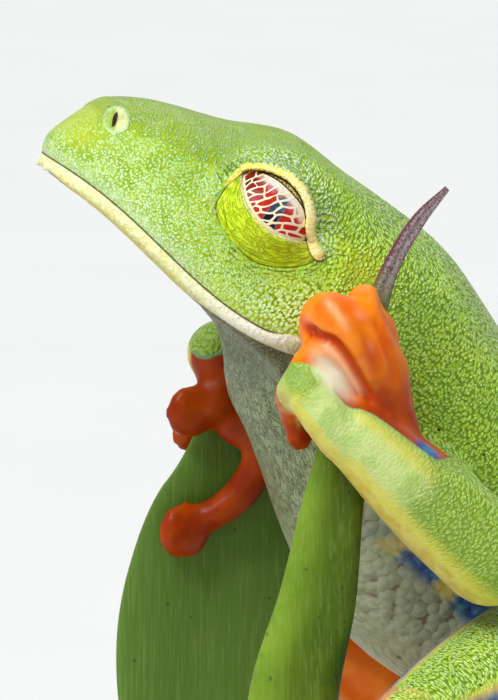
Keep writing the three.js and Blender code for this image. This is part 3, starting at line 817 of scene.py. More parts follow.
def add_body():
    along, rise, depth = trunk_place(points)
    green_edge = -0.34 + 0.36 * ramp(along, 0.25, 0.5)
    trunk_green = np.clip((rise - green_edge) * depth, -6, 6)
    flank = ramp(along, 0.3, 0.42) * (1 - ramp(along, 0.82, 0.92)) * (1 - head_share)
    flank *= ramp(rise, green_edge - 0.46, green_edge - 0.36)
    flank *= 1 - ramp(rise, green_edge - 0.01, green_edge + 0.03)
    bars = ramp(np.sin(along * 58 + 1.2 * rise), 0.25, 0.7)
    gap = np.array([body_tree.find_nearest(Vector(point))[3] for point in points])
    green = head_share * np.clip(lip, -3, 3) + (1 - head_share) * trunk_green
    add_region(gap, green=green, blue=flank * (1 - bars), cream=flank * bars)


def add_arm(name, mirror):
    shoulder, elbow, wrist = [np.array(joint) for joint in ARMS[name]["joints"]]
    near = name == "left"
    outward = CAMERA_SIDE * mirror
    turn = -1 if near else 1
    # Painted shade: the near forearm and hand darken lower down, and the far arm is shaded all over.
    limb_shade = 0.95 * ramp(-points[:, 2], 8.8, 15.0) if near else 1
    gap, share, angle = limb_place(shoulder, elbow, (0, 0.3, 1), (3.2, 2.9))
    add_region(gap, green=4 * band(angle, -60, 60) - 1, orange=0.5, blue=0.35)
    gap, share, angle = limb_place(elbow, wrist, outward, (3.4, 2.25))
    angle = turn * angle
    low_edge = -50 - 45 * (1 - ramp(share, 0.5, 0.66))
    pale_round = 0.45 + 0.55 * band(angle, -26, 90, 12)
    upper_stripe = 0.6 * band(angle, -42, -18, 9) * ramp(share, 0.5, 0.75)
    blue = 1.3 * band(angle, -66, -47, 6) * ramp(share, 0.58, 0.70) * (1 - ramp(share, 0.72, 0.82))
    add_region(gap, green=2 * band(angle, low_edge, 52 if near else 80, 7) - 1, orange=1, deep=limb_shade,
               pale=0.10 + (0.06 + 0.42 * ramp(share, 0.42, 0.92)) * pale_round,
               blue=blue, cream=band(angle, 32, 92, 12) + upper_stripe)
    add_region(away_from(elbow, 2.9), green=1, pale=0.1)
    add_hand(name, outward, turn, limb_shade)


def add_hand(name, outward, turn, limb_shade):
    near = name == "left"
    middles, radii, _ = ARMS[name]["palm"]
    for start, end in zip(middles[:-1], middles[1:]):
        gap, *_ = limb_place(start, end, outward, (radii[0] * 0.6, radii[1] * 0.6))
        add_region(gap, orange=1, deep=limb_shade)
    for number, (path, sizes, pad) in enumerate(ARMS[name]["digits"]):
        folded = near and number == 0
        for i in range(len(path) - 1):
            gap, _, angle = limb_place(path[i], path[i + 1], outward, sizes[i : i + 2])
            angle = turn * angle
            if folded and i < 2:
                add_region(gap, green=2 * band(angle, -60, 60, 8) - 1, orange=1, pale=0.45, deep=limb_shade,
                           cream=band(angle, 32, 110, 9))
            elif folded:
                add_region(gap, green=-0.4, orange=1, deep=0.7, cream=0.75 * band(angle, 8, 58, 10))
            else:
                add_region(gap, orange=1, deep=limb_shade)
        add_region(away_from(pad[0], pad[1][1]), orange=1, deep=limb_shade if number else 1.1)
    path, sizes = ARMS[name]["web"]
    for i in range(len(path) - 1):
        gap, *_ = limb_place(path[i], path[i + 1], outward, sizes[i : i + 2])
        add_region(gap, orange=1, deep=0.5 * limb_shade)


def add_leg(mirror):
    hip, knee, ankle, heel, toes = leg_joints(mirror)
    add_region(away_from(knee, 2.4), green=1, pale=0.1)
    add_region(away_from(ankle, 1.6), green=1, pale=0.1)
    gap, _, angle = limb_place(hip, knee, mirror * (0.2, 0.2, 1), (4.9, 3.2))
    round_leg = np.abs(angle)
    add_region(gap, green=2 * band(angle, -42, 42, 6) - 1, orange=0.6, deep=0.4,
               blue=band(round_leg, 42, 130, 12), cream=0.8 * band(round_leg, 38, 48, 5))
    gap, _, angle = limb_place(knee, ankle, mirror * (0.8, -0.3, 0.6), (3.0, 2.2))
    round_leg = np.abs(angle)
    add_region(gap, green=2 * band(angle, -60, 60, 6) - 1, orange=1, deep=0.3,
               blue=0.25 * band(round_leg, 60, 100, 12), cream=band(round_leg, 54, 68, 6))
    gap, _, angle = limb_place(ankle, heel, mirror * (0.9, 0, 0.3), (2.0, 1.8))
    add_region(gap, green=2 * band(angle, -60, 60, 6) - 1, orange=1, deep=0.3,
               cream=band(np.abs(angle), 52, 70, 6))
    gap, *_ = limb_place(heel, toes, mirror * (0.5, 0, 1), (1.9, 2.4))
    add_region(gap, orange=1, deep=0.3)
    for path, radius, _ in TOES:
        for start, end in zip(path[:-1], path[1:]):
            gap, *_ = limb_place(start * mirror, end * mirror, (0, 0, 1), (radius, radius))
            add_region(gap, orange=1, deep=0.3)


head_share = 1 - ramp(behind, 16.0, 21.0)
lip = above - mouth_line(behind, points[:, 0])
add_body()
add_arm("left", NEAR)
add_arm("right", FAR)
add_leg(NEAR)
add_leg(FAR)
knob = np.array(ARMS["left"]["digits"][0][0][2])
add_region(away_from(knob, 1.75), green=1.2, orange=1, pale=0.16,
           cream=0.85 * ramp(-points[:, 2] - 0.5 * (points[:, 1] - knob[1]), 13.3, 14.3))
add_region(away_from((-13.2, 15.2, -15.5), 1.95), green=0.9, deep=1, orange=1, pale=0.12)

table = np.array(regions)
pull = 1 / (np.clip(table[:, 0], 0, None) + 0.25) ** 5
pull /= pull.sum(0)
measured = {key: (table[:, k + 1] * pull).sum(0) for k, key in enumerate(FIELDS)}
on_body = pull[0]
print("regions of colour:", len(regions))

# %% Measures on the head and the near hand
measured["on_body"] = on_body
measured["head"] = head_share * on_body
measured["behind"] = behind
measured["lip"] = lip
measured["lip_foot"] = above - jaw_height(behind, points[:, 0]) + 1.22 - 0.33 * ramp(behind, 9, 14)
at_side = ramp(side / lip_half_width(np.clip(behind, 0.3, HEAD_WIDEST)), 0.66, 0.84)
measured["lip_edge"] = np.maximum(at_side, 1 - ramp(behind, 0.8, 2.0))

crack_gap = np.min([np.abs(to_line(points[:, 1], points[:, 2], line)[0]) for line in CRACKS], axis=0)
measured["crack_gap"] = np.where((on_body > 0.8) & (side > 6), crack_gap, 9)
mirrored = np.column_stack([side, points[:, 1:]])
measured["sallow"] = hill(np.linalg.norm(mirrored - np.array([9.1, 20.2, -7.2]), axis=1), 1.7) * on_body

hand_across, hand_up, hand_out = hand_plane(points)
web_across = hand_across + 1.70 + 0.6 * (hand_up + 1.75)
web = 1 - ramp(np.hypot(web_across, (hand_up + 1.75) / 1.55), 0.25, 1.45)
measured["web"] = np.where((points[:, 0] > 15.0) & (hand_out > -2), web, 0) * (1 - on_body)
# Painted shade: the near hand darkens towards its rear side.
rear_side_shade = np.where((points[:, 0] > 14.0) & (hand_out > -2), 0.34 * ramp(hand_across, 0.9, 2.9), 0)
measured["deep"] = np.maximum(measured["deep"], rear_side_shade)
# Painted shade along the hand's creases.
measured["hand_cut"] = 2 * hand_lines(points, HAND_CREASES)
measured["hand_ridge"] = 8 * hand_lines(points, HAND_HIGHLIGHT_RIDGES)

# %% Measures round the eyes and the nostrils
across, up, out = face_plane(points, EYE)
lower = slit_place(across, up)[3]
rim_side, measured["rim_along"], rim_half = to_line(across, up, UPPER_RIM)
crease_side, measured["crease_along"], _ = to_line(across, up, LOWER_CREASE)
from_middle = np.hypot(across, up)
by_rim = ramp(rim_side, 0.0, 0.3) * (1 - ramp(rim_side, 0.7, 3.4)) * (1 - ramp(from_middle, 4.8, 6.4))
below = np.clip(lower, 0, 9)
by_eye = (from_middle < 6.5) & (out > -2.6) & (out < 6)
for name, near, far in (
    ("rim_share", np.abs(rim_side) / rim_half, 9),
    ("rim_out", rim_side, 9),
    ("slit_gap", np.maximum(lower, rim_side + 0.95 * rim_half), 5),
    ("lid_inside", np.minimum(crease_side, -rim_side), -1),
    ("lid_lower", lower, 9),
    ("crease_gap", crease_side, 9),
    ("outer_fold", -crease_side, 9),
    ("inner_gap", to_line(across, up, INNER_CREASE)[0], 9),
    ("rear_gap", to_line(across, up, REAR_CREASE)[0], 9),
    ("fold", below / (below + np.abs(crease_side) + 0.05), 0),
    ("by_rim", by_rim, 0),
    ("corner", np.hypot(across - LID_CORNER[0], up - LID_CORNER[1]), 9),
):
    measured[name] = np.where(by_eye, near, far)

nose_across, nose_up, _ = face_plane(points, NOSTRIL)
nose_ring, nose_slit = nostril_shape(nose_across, nose_up)
by_nose = near_nostril(points)
measured["nose_ring"] = np.where(by_nose, nose_ring, 3)
measured["nose_slit"] = np.where(by_nose, nose_slit, 9)
measured["nose_side"] = np.where(by_nose, nose_across, 0)

# %% Hollows and facing
edges = edges_of(skin)
smoothed = points.copy()
for _ in range(6):
    smoothed = 0.4 * smoothed + 0.6 * neighbour_mean(smoothed, edges)
measured["hollow"] = ((smoothed - points) * normals).sum(1)

facing_share = np.abs(normals) ** 5
for _ in range(4):
    facing_share = 0.5 * facing_share + 0.5 * neighbour_mean(facing_share, edges)
facing_share /= facing_share.sum(1)[:, None]
measured["sideways"], measured["endways"], measured["upwards"] = facing_share.T

for name, values in measured.items():
    store(skin, name, values)
triangles = sum(len(face.vertices) - 2 for face in skin.data.polygons)
print("skin measured:", len(points), "points,", triangles, "triangles")

# %% [markdown]
# ## A short way to write node materials
# Blender's materials are graphs of nodes. Here each node's output is a Value, and sums with
# values make the nodes that work them out, so that a finish reads like plain arithmetic.

# %% Values and finishes
class Value:
    """A number, a colour or a place on its way through a material."""

    def __init__(self, finish, socket):
        self.finish = finish
        self.socket = socket

    def __add__(self, other):
        return self.finish.math("ADD", self, other)

    def __sub__(self, other):
        return self.finish.math("SUBTRACT", self, other)

    def __rsub__(self, other):
        return self.finish.math("SUBTRACT", other, self)

    def __mul__(self, other):
        return self.finish.math("MULTIPLY", self, other)

    def __truediv__(self, other):
        return self.finish.math("DIVIDE", self, other)

    def __abs__(self):
        return self.finish.math("ABSOLUTE", self)

    def largest(self, other):
        return self.finish.math("MAXIMUM", self, other)

    def least(self, other):
        return self.finish.math("MINIMUM", self, other)

    def clamped(self):
        return self.finish.math("MULTIPLY", self, 1.0, clamp=True)

    def waves(self):
        """How far each value is from the middle between two whole numbers."""
        return abs(self.finish.math("FRACT", self) - 0.5)

    def step(self, low, high, start=0.0, end=1.0):
        """Goes smoothly from start to end as the value goes from low to high."""
        made = self.finish.node("ShaderNodeMapRange", interpolation_type="SMOOTHSTEP")
        self.finish.feed_all(made, {"Value": self, "From Min": low, "From Max": high})
        self.finish.feed_all(made, {"To Min": start, "To Max": end})
        return Value(self.finish, made.outputs[0])

    __radd__ = __add__
    __rmul__ = __mul__


class Finish:
    """A material under construction."""

    def __init__(self, name):
        self.material = bpy.data.materials.new(name)
        self.material.use_nodes = True
        self.tree = self.material.node_tree
        self.shader = self.tree.nodes["Principled BSDF"]
        self.place = Value(self, self.node("ShaderNodeTexCoord").outputs["Object"])
        self.mm = self.scaled(1 / MM)

    def node(self, kind, **settings):
        made = self.tree.nodes.new(kind)
        for key, value in settings.items():
            setattr(made, key, value)
        return made

    def feed(self, socket, value):
        if isinstance(value, Value):
            self.tree.links.new(value.socket, socket)
        elif socket.type == "RGBA":
            socket.default_value = (*value, 1)
        else:
            socket.default_value = value

    def feed_all(self, made, values):
        for key, value in values.items():
            self.feed(made.inputs[key], value)

    def math(self, operation, first, second=0.0, clamp=False):
        made = self.node("ShaderNodeMath", operation=operation, use_clamp=clamp)
        self.feed_all(made, {0: first, 1: second})
        return Value(self, made.outputs[0])

    def mix(self, share, first, second):
        """A colour between two."""
        made = self.node("ShaderNodeMix", data_type="RGBA")
        self.feed_all(made, {0: share, 6: first, 7: second})
        return Value(self, made.outputs[2])

    def blend(self, share, first, second):
        """A number between two."""
        made = self.node("ShaderNodeMix", data_type="FLOAT")
        self.feed_all(made, {0: share, 2: first, 3: second})
        return Value(self, made.outputs[0])

    def scaled(self, x, y=None, z=None, source=None):
        made = self.node("ShaderNodeVectorMath", operation="MULTIPLY")
        self.feed_all(made, {0: source or self.place, 1: (x, x if y is None else y, x if z is None else z)})
        return Value(self, made.outputs[0])

    def turned(self, source, degrees):
        """Coordinates turned about the frog's side-to-side axis."""
        made = self.node("ShaderNodeVectorRotate", rotation_type="X_AXIS")
        self.feed_all(made, {"Vector": source, "Angle": np.radians(degrees)})
        return Value(self, made.outputs[0])

    def flat_place(self, x, y):
        """Coordinates made of two numbers."""
        made = self.node("ShaderNodeCombineXYZ")
        self.feed_all(made, {0: x, 1: y})
        return Value(self, made.outputs[0])

    def noise(self, source, scale=1.0, detail=2.0, rough=0.5, output="Fac"):
        made = self.node("ShaderNodeTexNoise")
        self.feed_all(made, {"Vector": source, "Scale": scale, "Detail": detail, "Roughness": rough})
        return Value(self, made.outputs[output])

    def tones(self, source, low, high, dark, light):
        """A colour that wanders between two as a noise does between two of its values."""
        return self.mix(source.step(low, high), dark, light)

    def shifted(self, source, amount, scale):
        """Coordinates pushed about by a noise, so that cells lose their regular look."""
        made = self.node("ShaderNodeVectorMath", operation="MULTIPLY_ADD")
        self.feed_all(made, {0: self.noise(source, scale, output="Color"), 1: (amount,) * 3, 2: source})
        return Value(self, made.outputs[0])

    def spots(self, source, scale, **settings):
        """Distance to the nearest of some scattered points."""
        made = self.node("ShaderNodeTexVoronoi", **settings)
        self.feed_all(made, {"Vector": source, "Scale": scale})
        return Value(self, made.outputs["Distance"])

    def flat_cells(self, source, scale, shares, across=1.0, turn=0.0):
        """Distance to the nearest cell's middle, laid out flat from the side, the end and above."""
        apart = self.node("ShaderNodeSeparateXYZ")
        self.feed(apart.inputs[0], source)
        x, y, z = [Value(self, socket) for socket in apart.outputs]
        total = 0.0
        for (first, second), share in zip(((y, z), (x, z), (x, y)), shares):
            flat = self.flat_place(first - second * turn, (second + first * turn) * across)
            total = self.spots(flat, scale, voronoi_dimensions="2D") * share + total
        return total

    def stored(self, *names):
        """The numbers that a piece's points keep under some names."""
        return {name: Value(self, self.node("ShaderNodeAttribute", attribute_name=name).outputs["Fac"])
                for name in names}

    def bump(self, height, depth, strength=1.0):
        made = self.node("ShaderNodeBump")
        self.feed_all(made, {"Height": height, "Distance": depth, "Strength": strength})
        self.tree.links.new(made.outputs[0], self.shader.inputs["Normal"])

    def set(self, **values):
        for key, value in values.items():
            self.feed(self.shader.inputs[key.replace("_", " ").title().replace("Ior", "IOR")], value)


# %% [markdown]
# ## The frog's finish
# The skin above is a pavement of tiny wet granules, about a quarter of a millimetre across, paler
# on their tops, partly as painted highlights, that stretch and thin out towards the lip. The throat
# is finely wrinkled, the belly has bigger, flatter granules with dark seams, and the hands are smooth.

# %% Skin: where each kind of skin lies, and its granules
paint = Finish("frog_skin")
mm = paint.mm
at = paint.stored(*measured)
patch = paint.noise(mm, 1.1, 3)
tone = paint.noise(mm, 0.32, 4, 0.55)

ragged_edge = (paint.noise(mm, 1.7, 3) * 0.6 - 0.3) * (1 - at["head"]) * (1 - 0.75 * at["orange"])
is_green = (at["green"] + ragged_edge).step(-0.06, 0.06)
on_head = at["head"].step(0.3, 0.7)
near_lip = at["lip"].step(4.6, 0.8) * on_head
far_back = (at["behind"] + near_lip * 3.4 + at["by_rim"] * 7.0).step(14.0, 21.0)

ways = (at["sideways"], at["endways"], at["upwards"])
small_cell = paint.flat_cells(paint.shifted(mm, 0.20, 4.4), 5.2, ways)
squiggles = paint.noise(paint.shifted(mm, 0.25, 2.0), 4.0, 1, 0.4)
squiggle = abs(squiggles - 0.5).step(0.055, 0.010) * paint.noise(mm, 0.55).step(0.40, 0.58)
small = small_cell.step(0.50, 0.12).largest(squiggle * 0.65)
large_cell = paint.flat_cells(paint.shifted(paint.shifted(mm, 0.14, 3.2), 0.5, 0.7), 2.75, ways, 1.35, -0.75)
across_body = paint.scaled(1.0, 0.45, 1.5, paint.turned(mm, -50))
furrow = abs(paint.noise(paint.shifted(across_body, 0.5, 0.8), 1.5) - 0.5).step(0.0, 0.05)
large = large_cell.step(0.70, 0.12) * (furrow * 0.65 + 0.35)
granule = paint.blend(far_back, small, large)
belly_cell = paint.flat_cells(paint.shifted(paint.shifted(mm, 0.14, 2.2), 0.3, 0.8), 1.35, ways)
stipple = paint.noise(paint.shifted(mm, 0.3, 1.0), 5.0, 3, 0.6)
print("skin finish reads", len(at), "stored measures")


# %% Skin: the greens of the head and the back
def upper_greens():
    front = paint.tones(tone, 0.35, 0.65, (0.275, 0.530, 0.012), (0.410, 0.640, 0.014))
    back = paint.tones(tone, 0.35, 0.65, (0.400, 0.700, 0.006), (0.560, 0.830, 0.008))
    deep_front = paint.tones(patch, 0.3, 0.7, (0.240, 0.390, 0.004), (0.370, 0.500, 0.006))
    deep_back = paint.tones(patch, 0.3, 0.7, (0.220, 0.430, 0.001), (0.370, 0.570, 0.002))
    valley = paint.mix(far_back, deep_front, deep_back)
    seam = far_back * granule.step(0.22, 0.02) * (0.70 - at["by_rim"] * 0.45).clamped()
    valley = paint.mix(seam, valley, (0.060, 0.130, 0.002))
    return paint.mix(granule.step(0.0, 0.55), valley, paint.mix(far_back, front, back))


def with_pale_tops_and_highlights(colour):
    """Pale granule tops, part pale skin, part painted highlight, more towards the snout and the lip."""
    paleness = (at["behind"].step(20.0, 6.0, 0.12, 0.52) + near_lip * 0.32).clamped()
    paleness = paleness + far_back * (1 - at["sideways"]) * 0.40
    paleness = (paleness + at["by_rim"] * 0.25).clamped()
    # Painted highlight: the pale tops stand partly for wet glints and are partly paler skin.
    pale_top_highlight = granule.step(0.30, 0.75) * paleness * paint.noise(mm, 1.9).step(0.25, 0.60, 0.5, 1.0)
    return paint.mix(pale_top_highlight, colour, (0.680, 0.900, 0.680))


def with_painted_glints(colour):
    """Painted wet highlights on the tops of the larger granules."""
    painted_glint = large_cell.step(0.26, 0.10) * paint.noise(mm, 2.4).step(0.45, 0.57)
    painted_glint = painted_glint * paint.noise(mm, 0.7).step(0.38, 0.58, 0.40, 1.0) * far_back * at["on_body"]
    painted_glint = painted_glint * at["behind"].step(30.0, 22.0, 0.20, 0.95) * at["sideways"].step(0.05, 0.60)
    colour = paint.mix(painted_glint, colour, (0.800, 0.980, 0.720))
    # Painted highlight: pale beads on the granules behind the lip and by the upper lid's rim.
    bead_highlight = large_cell.step(0.46, 0.14) * far_back * at["lip"].step(5.2, 2.2).largest(at["by_rim"])
    return paint.mix(bead_highlight * on_head * 0.75, colour, (0.780, 0.950, 0.820))


upper_skin = with_painted_glints(with_pale_tops_and_highlights(upper_greens()))
upper_skin = paint.mix(at["sallow"] * 0.5, upper_skin, (0.620, 0.640, 0.010))
snout_tip = at["behind"].step(3.2, 0.6) * at["lip"].step(1.2, 2.4)
upper_skin = paint.mix(snout_tip * 0.45, upper_skin, (0.480, 0.560, 0.020))
# Above the lip the green turns paler: partly paler skin, partly a painted sheen.
above_lip_pale_and_sheen = paint.tones(at["behind"], 9.0, 14.0, (0.540, 0.680, 0.400), (0.520, 0.620, 0.060))
upper_skin = paint.mix(at["lip"].step(1.5, 0.2) * on_head * 0.45, upper_skin, above_lip_pale_and_sheen)

arm_tone = paint.noise(mm, 0.9, 3)
arm_skin = paint.tones(arm_tone, 0.35, 0.65, (0.420, 0.570, 0.150), (0.540, 0.640, 0.220))
low_arm = paint.tones(granule, 0.1, 0.7, (0.210, 0.330, 0.030), (0.300, 0.440, 0.070))
arm_skin = paint.mix((at["pale"] + arm_tone * 0.20).step(0.28, 0.58), low_arm, arm_skin)
upper_skin = paint.mix(at["pale"].step(0.02, 0.22), upper_skin, arm_skin)

# %% Skin: belly, throat and lips
pale_belly = paint.mix(patch, (0.310, 0.350, 0.190), (0.460, 0.480, 0.300))
belly_skin = paint.mix(belly_cell.step(0.80, 0.58), (0.200, 0.150, 0.080), pale_belly)

down_throat = paint.scaled(1.3, 2.2, 0.75, paint.turned(mm, -20))
wrinkle = abs(paint.noise(paint.shifted(down_throat, 0.4, 0.9), 2.0) - 0.5).step(0.0, 0.05)
pale_throat = paint.tones(paint.noise(mm, 1.2, 3), 0.35, 0.65, (0.215, 0.255, 0.110), (0.375, 0.415, 0.215))
throat_skin = paint.mix(wrinkle * 0.4 + stipple * 0.8, (0.120, 0.125, 0.055), pale_throat)
by_jaw = at["lip"].step(-5.5, -1.2)
along_jaw = paint.flat_place(at["behind"] * 0.9, at["lip"] * 3.0)
jaw_fold = by_jaw * abs(paint.noise(paint.shifted(along_jaw, 0.3, 1.2), 1.5) - 0.5).step(0.07, 0.01)
# Painted shade: the throat darkens just under the lip.
throat_skin = paint.mix(by_jaw * 0.55, throat_skin, (0.150, 0.115, 0.040))
# Painted shade in the fine folds along the jaw.
throat_skin = paint.mix(jaw_fold * 0.6, throat_skin, (0.045, 0.030, 0.010))
is_throat = (at["behind"] + patch * 3.0).step(31.5, 28.0)
lower_skin = paint.mix(is_throat, belly_skin, throat_skin)

lip_band = at["lip_foot"].step(-0.07, 0.07) * at["lip_edge"].step(0.35, 0.65) * at["head"].step(0.06, 0.25)
lip_grain = paint.noise(mm, 3.4, 3, 0.6)
lip_rear = at["behind"].step(9.0, 15.0)
lip_dull = paint.mix(lip_rear, (0.770, 0.740, 0.250), (0.900, 0.890, 0.600))
lip_bright = paint.mix(lip_rear, (0.930, 0.930, 0.620), (0.975, 0.985, 0.880))
# The lip's lower edge is mustard yellow, darkened by painted shade where it turns under.
lip_under_shaded = paint.mix(lip_rear, (0.600, 0.480, 0.024), (0.560, 0.500, 0.130))
lip_low = (at["lip"] + lip_grain * 0.3).step(-0.42, -0.95) * at["behind"].step(17.0, 9.0, 0.55, 0.85)
lip_skin = paint.mix(lip_low, paint.tones(lip_grain, 0.3, 0.7, lip_dull, lip_bright), lip_under_shaded)
lower_skin = paint.mix(lip_band, lower_skin, lip_skin)


# %% Skin: orange hands, blue flanks, cream stripes
def orange_hands():
    slow = paint.noise(mm, 0.5)
    glow = paint.tones(slow, 0.35, 0.65, (0.930, 0.150, 0.001), (1.000, 0.250, 0.003))
    # Dark red-orange where deep is high: painted shade on the arms, a tone on the legs.
    ember = paint.tones(slow, 0.35, 0.65, (0.300, 0.026, 0.0002), (0.400, 0.050, 0.0003))
    colour = paint.mix(at["deep"], glow, ember)
    bright = 1 - at["deep"]
    # Painted shade in the hand's hollows, and a painted highlight on its bulges.
    colour = paint.mix(at["hollow"].step(0.02, 0.09, 0.0, 0.8) * bright, colour, (0.420, 0.026, 0.001))
    colour = paint.mix(at["hollow"].step(-0.02, -0.09, 0.0, 0.55) * bright, colour, (1.000, 0.400, 0.110))
    # Painted shade along the hand's creases.
    colour = paint.mix(at["hand_cut"].least(0.6), colour, (0.500, 0.040, 0.0005))
    # Painted highlight: pale pink streaks along the hand's ridges.
    return paint.mix((at["hand_ridge"] * 0.55).clamped(), colour, (1.000, 0.520, 0.330))


lower_skin = paint.mix(at["orange"], lower_skin, orange_hands())
blue_skin = paint.tones(paint.noise(mm, 1.4), 0.3, 0.7, (0.035, 0.060, 0.240), (0.070, 0.230, 0.360))
lower_skin = paint.mix(at["blue"], lower_skin, blue_skin)
colour = paint.mix(is_green, lower_skin, upper_skin)

stripe = paint.tones(patch, 0.3, 0.7, (0.640, 0.470, 0.070), (0.770, 0.650, 0.160))
stripe = paint.mix(is_green * 0.45, stripe, (0.640, 0.680, 0.070))
colour = paint.mix(at["cream"], colour, stripe)
fringe = abs(at["green"] - 0.20).step(0.50, 0.10) * at["pale"].step(0.04, 0.16)
fringe = fringe * at["orange"] * (1 - at["cream"]).clamped()
colour = paint.mix(fringe * 0.6, colour, (0.110, 0.330, 0.180))
colour = paint.mix(at["web"] * 0.9, colour, (0.850, 0.790, 0.580))

# %% Skin: mouth line and lower lid
mouth_cut = (abs(at["lip"] - 0.02) + patch * 0.03 - 0.015).step(0.078, 0.028)
mouth_cut = mouth_cut * at["head"].step(0.55, 0.9) * at["behind"].step(18.3, 16.8)
# Painted shade in the groove of the mouth line.
colour = paint.mix(mouth_cut * 0.85, colour, (0.100, 0.060, 0.010))

lid = at["lid_inside"].step(-0.03, 0.03) * at["lid_lower"].step(-0.60, -0.50)
along_lid = paint.shifted(paint.flat_place(at["fold"] * 10.0, at["crease_along"] * 0.9), 0.3, 0.8)
folds = abs(paint.noise(along_lid, 1.2) - 0.5)
fold_top = folds.step(0.01, 0.09)
lid_skin = paint.mix(fold_top, (0.430, 0.600, 0.003), (0.600, 0.780, 0.008))
lid_skin = paint.mix(folds.step(0.07, 0.2) * 0.22, lid_skin, (0.620, 0.800, 0.080))
margin = paint.tones(patch, 0.35, 0.6, (0.850, 0.760, 0.220), (0.930, 0.890, 0.500))
lid_skin = paint.mix((at["lid_lower"] + patch * 0.3).step(0.44, 0.28), lid_skin, margin)
colour = paint.mix(lid, colour, lid_skin)

# %% Skin: creases round the eye
wander = paint.noise(paint.shifted(mm, 0.5, 0.9), 1.2)
ray = (at["rim_along"] * 2.6 + wander * 1.8).waves().step(0.20, 0.05)
ray_reach = at["rim_along"].step(5.0, 8.0) * 1.7 + at["rim_along"].step(2.2, 0.4) * 0.8 + 0.7
ray = ray * (at["rim_out"] / ray_reach).step(1.0, 0.5) * at["rim_out"].step(0.2, 0.4)
ray = ray * paint.noise(mm, 1.6).step(0.36, 0.50, 0.1, 0.85).largest(at["rim_along"].step(3.2, 2.4) * 0.75)
ray = ray * at["rim_along"].step(9.4, 8.9)
# Painted shade in the fine folds that run out from the rim.
colour = paint.mix(ray, colour, (0.105, 0.175, 0.004))

outer_folds = (at["outer_fold"] * 3.3 + wander * 1.2).waves().step(0.20, 0.05)
outer_folds = outer_folds * at["outer_fold"].step(1.10, 0.35) * at["outer_fold"].step(0.05, 0.12)
outer_folds = outer_folds * at["crease_along"].step(5.4, 6.4) * paint.noise(mm, 1.3).step(0.40, 0.52)
# Painted shade in the folds outside the lower lid's crease.
colour = paint.mix(outer_folds * 0.8, colour, (0.110, 0.160, 0.006))
crack = (at["crack_gap"] + paint.noise(mm, 5.0) * 0.10).step(0.115, 0.075) * 0.85
# Painted shade in the two fine creases behind the near hand.
colour = paint.mix(crack, colour, (0.045, 0.070, 0.002))

# %% Skin: the upper lid's rim and the lower lid's creases
ruffle = paint.noise(paint.flat_place(at["rim_along"] * 5.0, at["rim_share"]), 1.0, 3, 0.6)
outer = at["rim_out"].step(0.0, 0.05)
teeth = ruffle.step(0.38, 0.60) * outer * at["rim_along"].step(9.9, 9.0)
on_rim = (at["rim_share"] - teeth * 0.60 - 0.95).step(0.06, -0.06)
rim_fade = at["rim_along"].step(2.0, 6.5)
rim_dull = paint.mix(rim_fade, (0.950, 0.640, 0.020), (0.980, 0.800, 0.200))
rim_bright = paint.mix(rim_fade, (1.000, 0.910, 0.280), (1.000, 0.960, 0.520))
rim_skin = paint.tones(ruffle, 0.36, 0.60, rim_dull, rim_bright)
rim_skin = paint.mix(at["rim_share"].step(0.7, 1.1) * outer * 0.6, rim_skin, (0.860, 0.740, 0.060))
colour = paint.mix(on_rim, colour, rim_skin)
rim_foot_shadow = abs(at["rim_share"] - 1.05).step(0.22, 0.05) * at["rim_out"].step(0.0, -0.05)
# Painted shadow along the inner foot of the upper lid's rim.
colour = paint.mix(rim_foot_shadow * 0.7, colour, (0.100, 0.060, 0.010))

wavy = patch * 0.10 - 0.05
round_lid = at["crease_along"].step(4.6, 3.4).largest(at["crease_along"].step(5.8, 7.4)) * 0.75 + 0.25
inner_cut = abs(at["inner_gap"] + wavy * 1.6).step(0.050, 0.010) * 0.6
rear_cut = abs(at["rear_gap"] + wavy * 1.5).step(0.055, 0.015)
crease_cut = abs(at["crease_gap"] + wavy).step(0.055, 0.015) * round_lid
crease_cut = crease_cut.largest(inner_cut.largest(rear_cut))
crease_cut = crease_cut * (1 - on_rim) * paint.noise(mm, 1.1).step(0.30, 0.50, 0.35, 1.0)
# Painted shade in the creases round the lower lid.
colour = paint.mix(crease_cut * 0.75, colour, (0.075, 0.090, 0.008))

corner_ring = at["corner"].step(0.13, 0.17) * at["corner"].step(0.26, 0.20)
colour = paint.mix(at["corner"].step(0.20, 0.14, 0.0, 0.6), colour, (0.680, 0.720, 0.280))
colour = paint.mix(corner_ring * 0.55, colour, (0.110, 0.120, 0.030))
under_rim_shade = at["slit_gap"].step(-0.06, -0.12) * at["rim_out"].step(-0.90, -0.50)
# Painted shade on the sunk wall under the rim.
colour = paint.mix(under_rim_shade, colour, (0.020, 0.008, 0.004))

# %% Skin: nostrils and dark specks
in_ring = at["nose_ring"].step(1.0, 0.8)
ring_band = at["nose_ring"].step(0.80, 0.95) * at["nose_ring"].step(1.12, 0.98)
nose_cream = in_ring * (at["nose_side"] + patch * 0.4).step(0.05, 0.3) * patch.step(0.3, 0.6, 0.25, 0.8)
colour = paint.mix(in_ring * 0.5, colour, (0.400, 0.560, 0.120))
colour = paint.mix(nose_cream, colour, (0.760, 0.720, 0.400))
colour = paint.mix(ring_band * 0.55, colour, (0.560, 0.840, 0.560))
# Painted shade fills the nostril's open slit.
colour = paint.mix(at["nose_slit"].step(1.05, 0.85), colour, (0.040, 0.012, 0.008))
specks = paint.spots(paint.shifted(mm, 0.4, 1.0), 0.45).step(0.060, 0.045)
colour = paint.mix(specks * is_green * (1 - lid.largest(on_rim)), colour, (0.020, 0.020, 0.012))

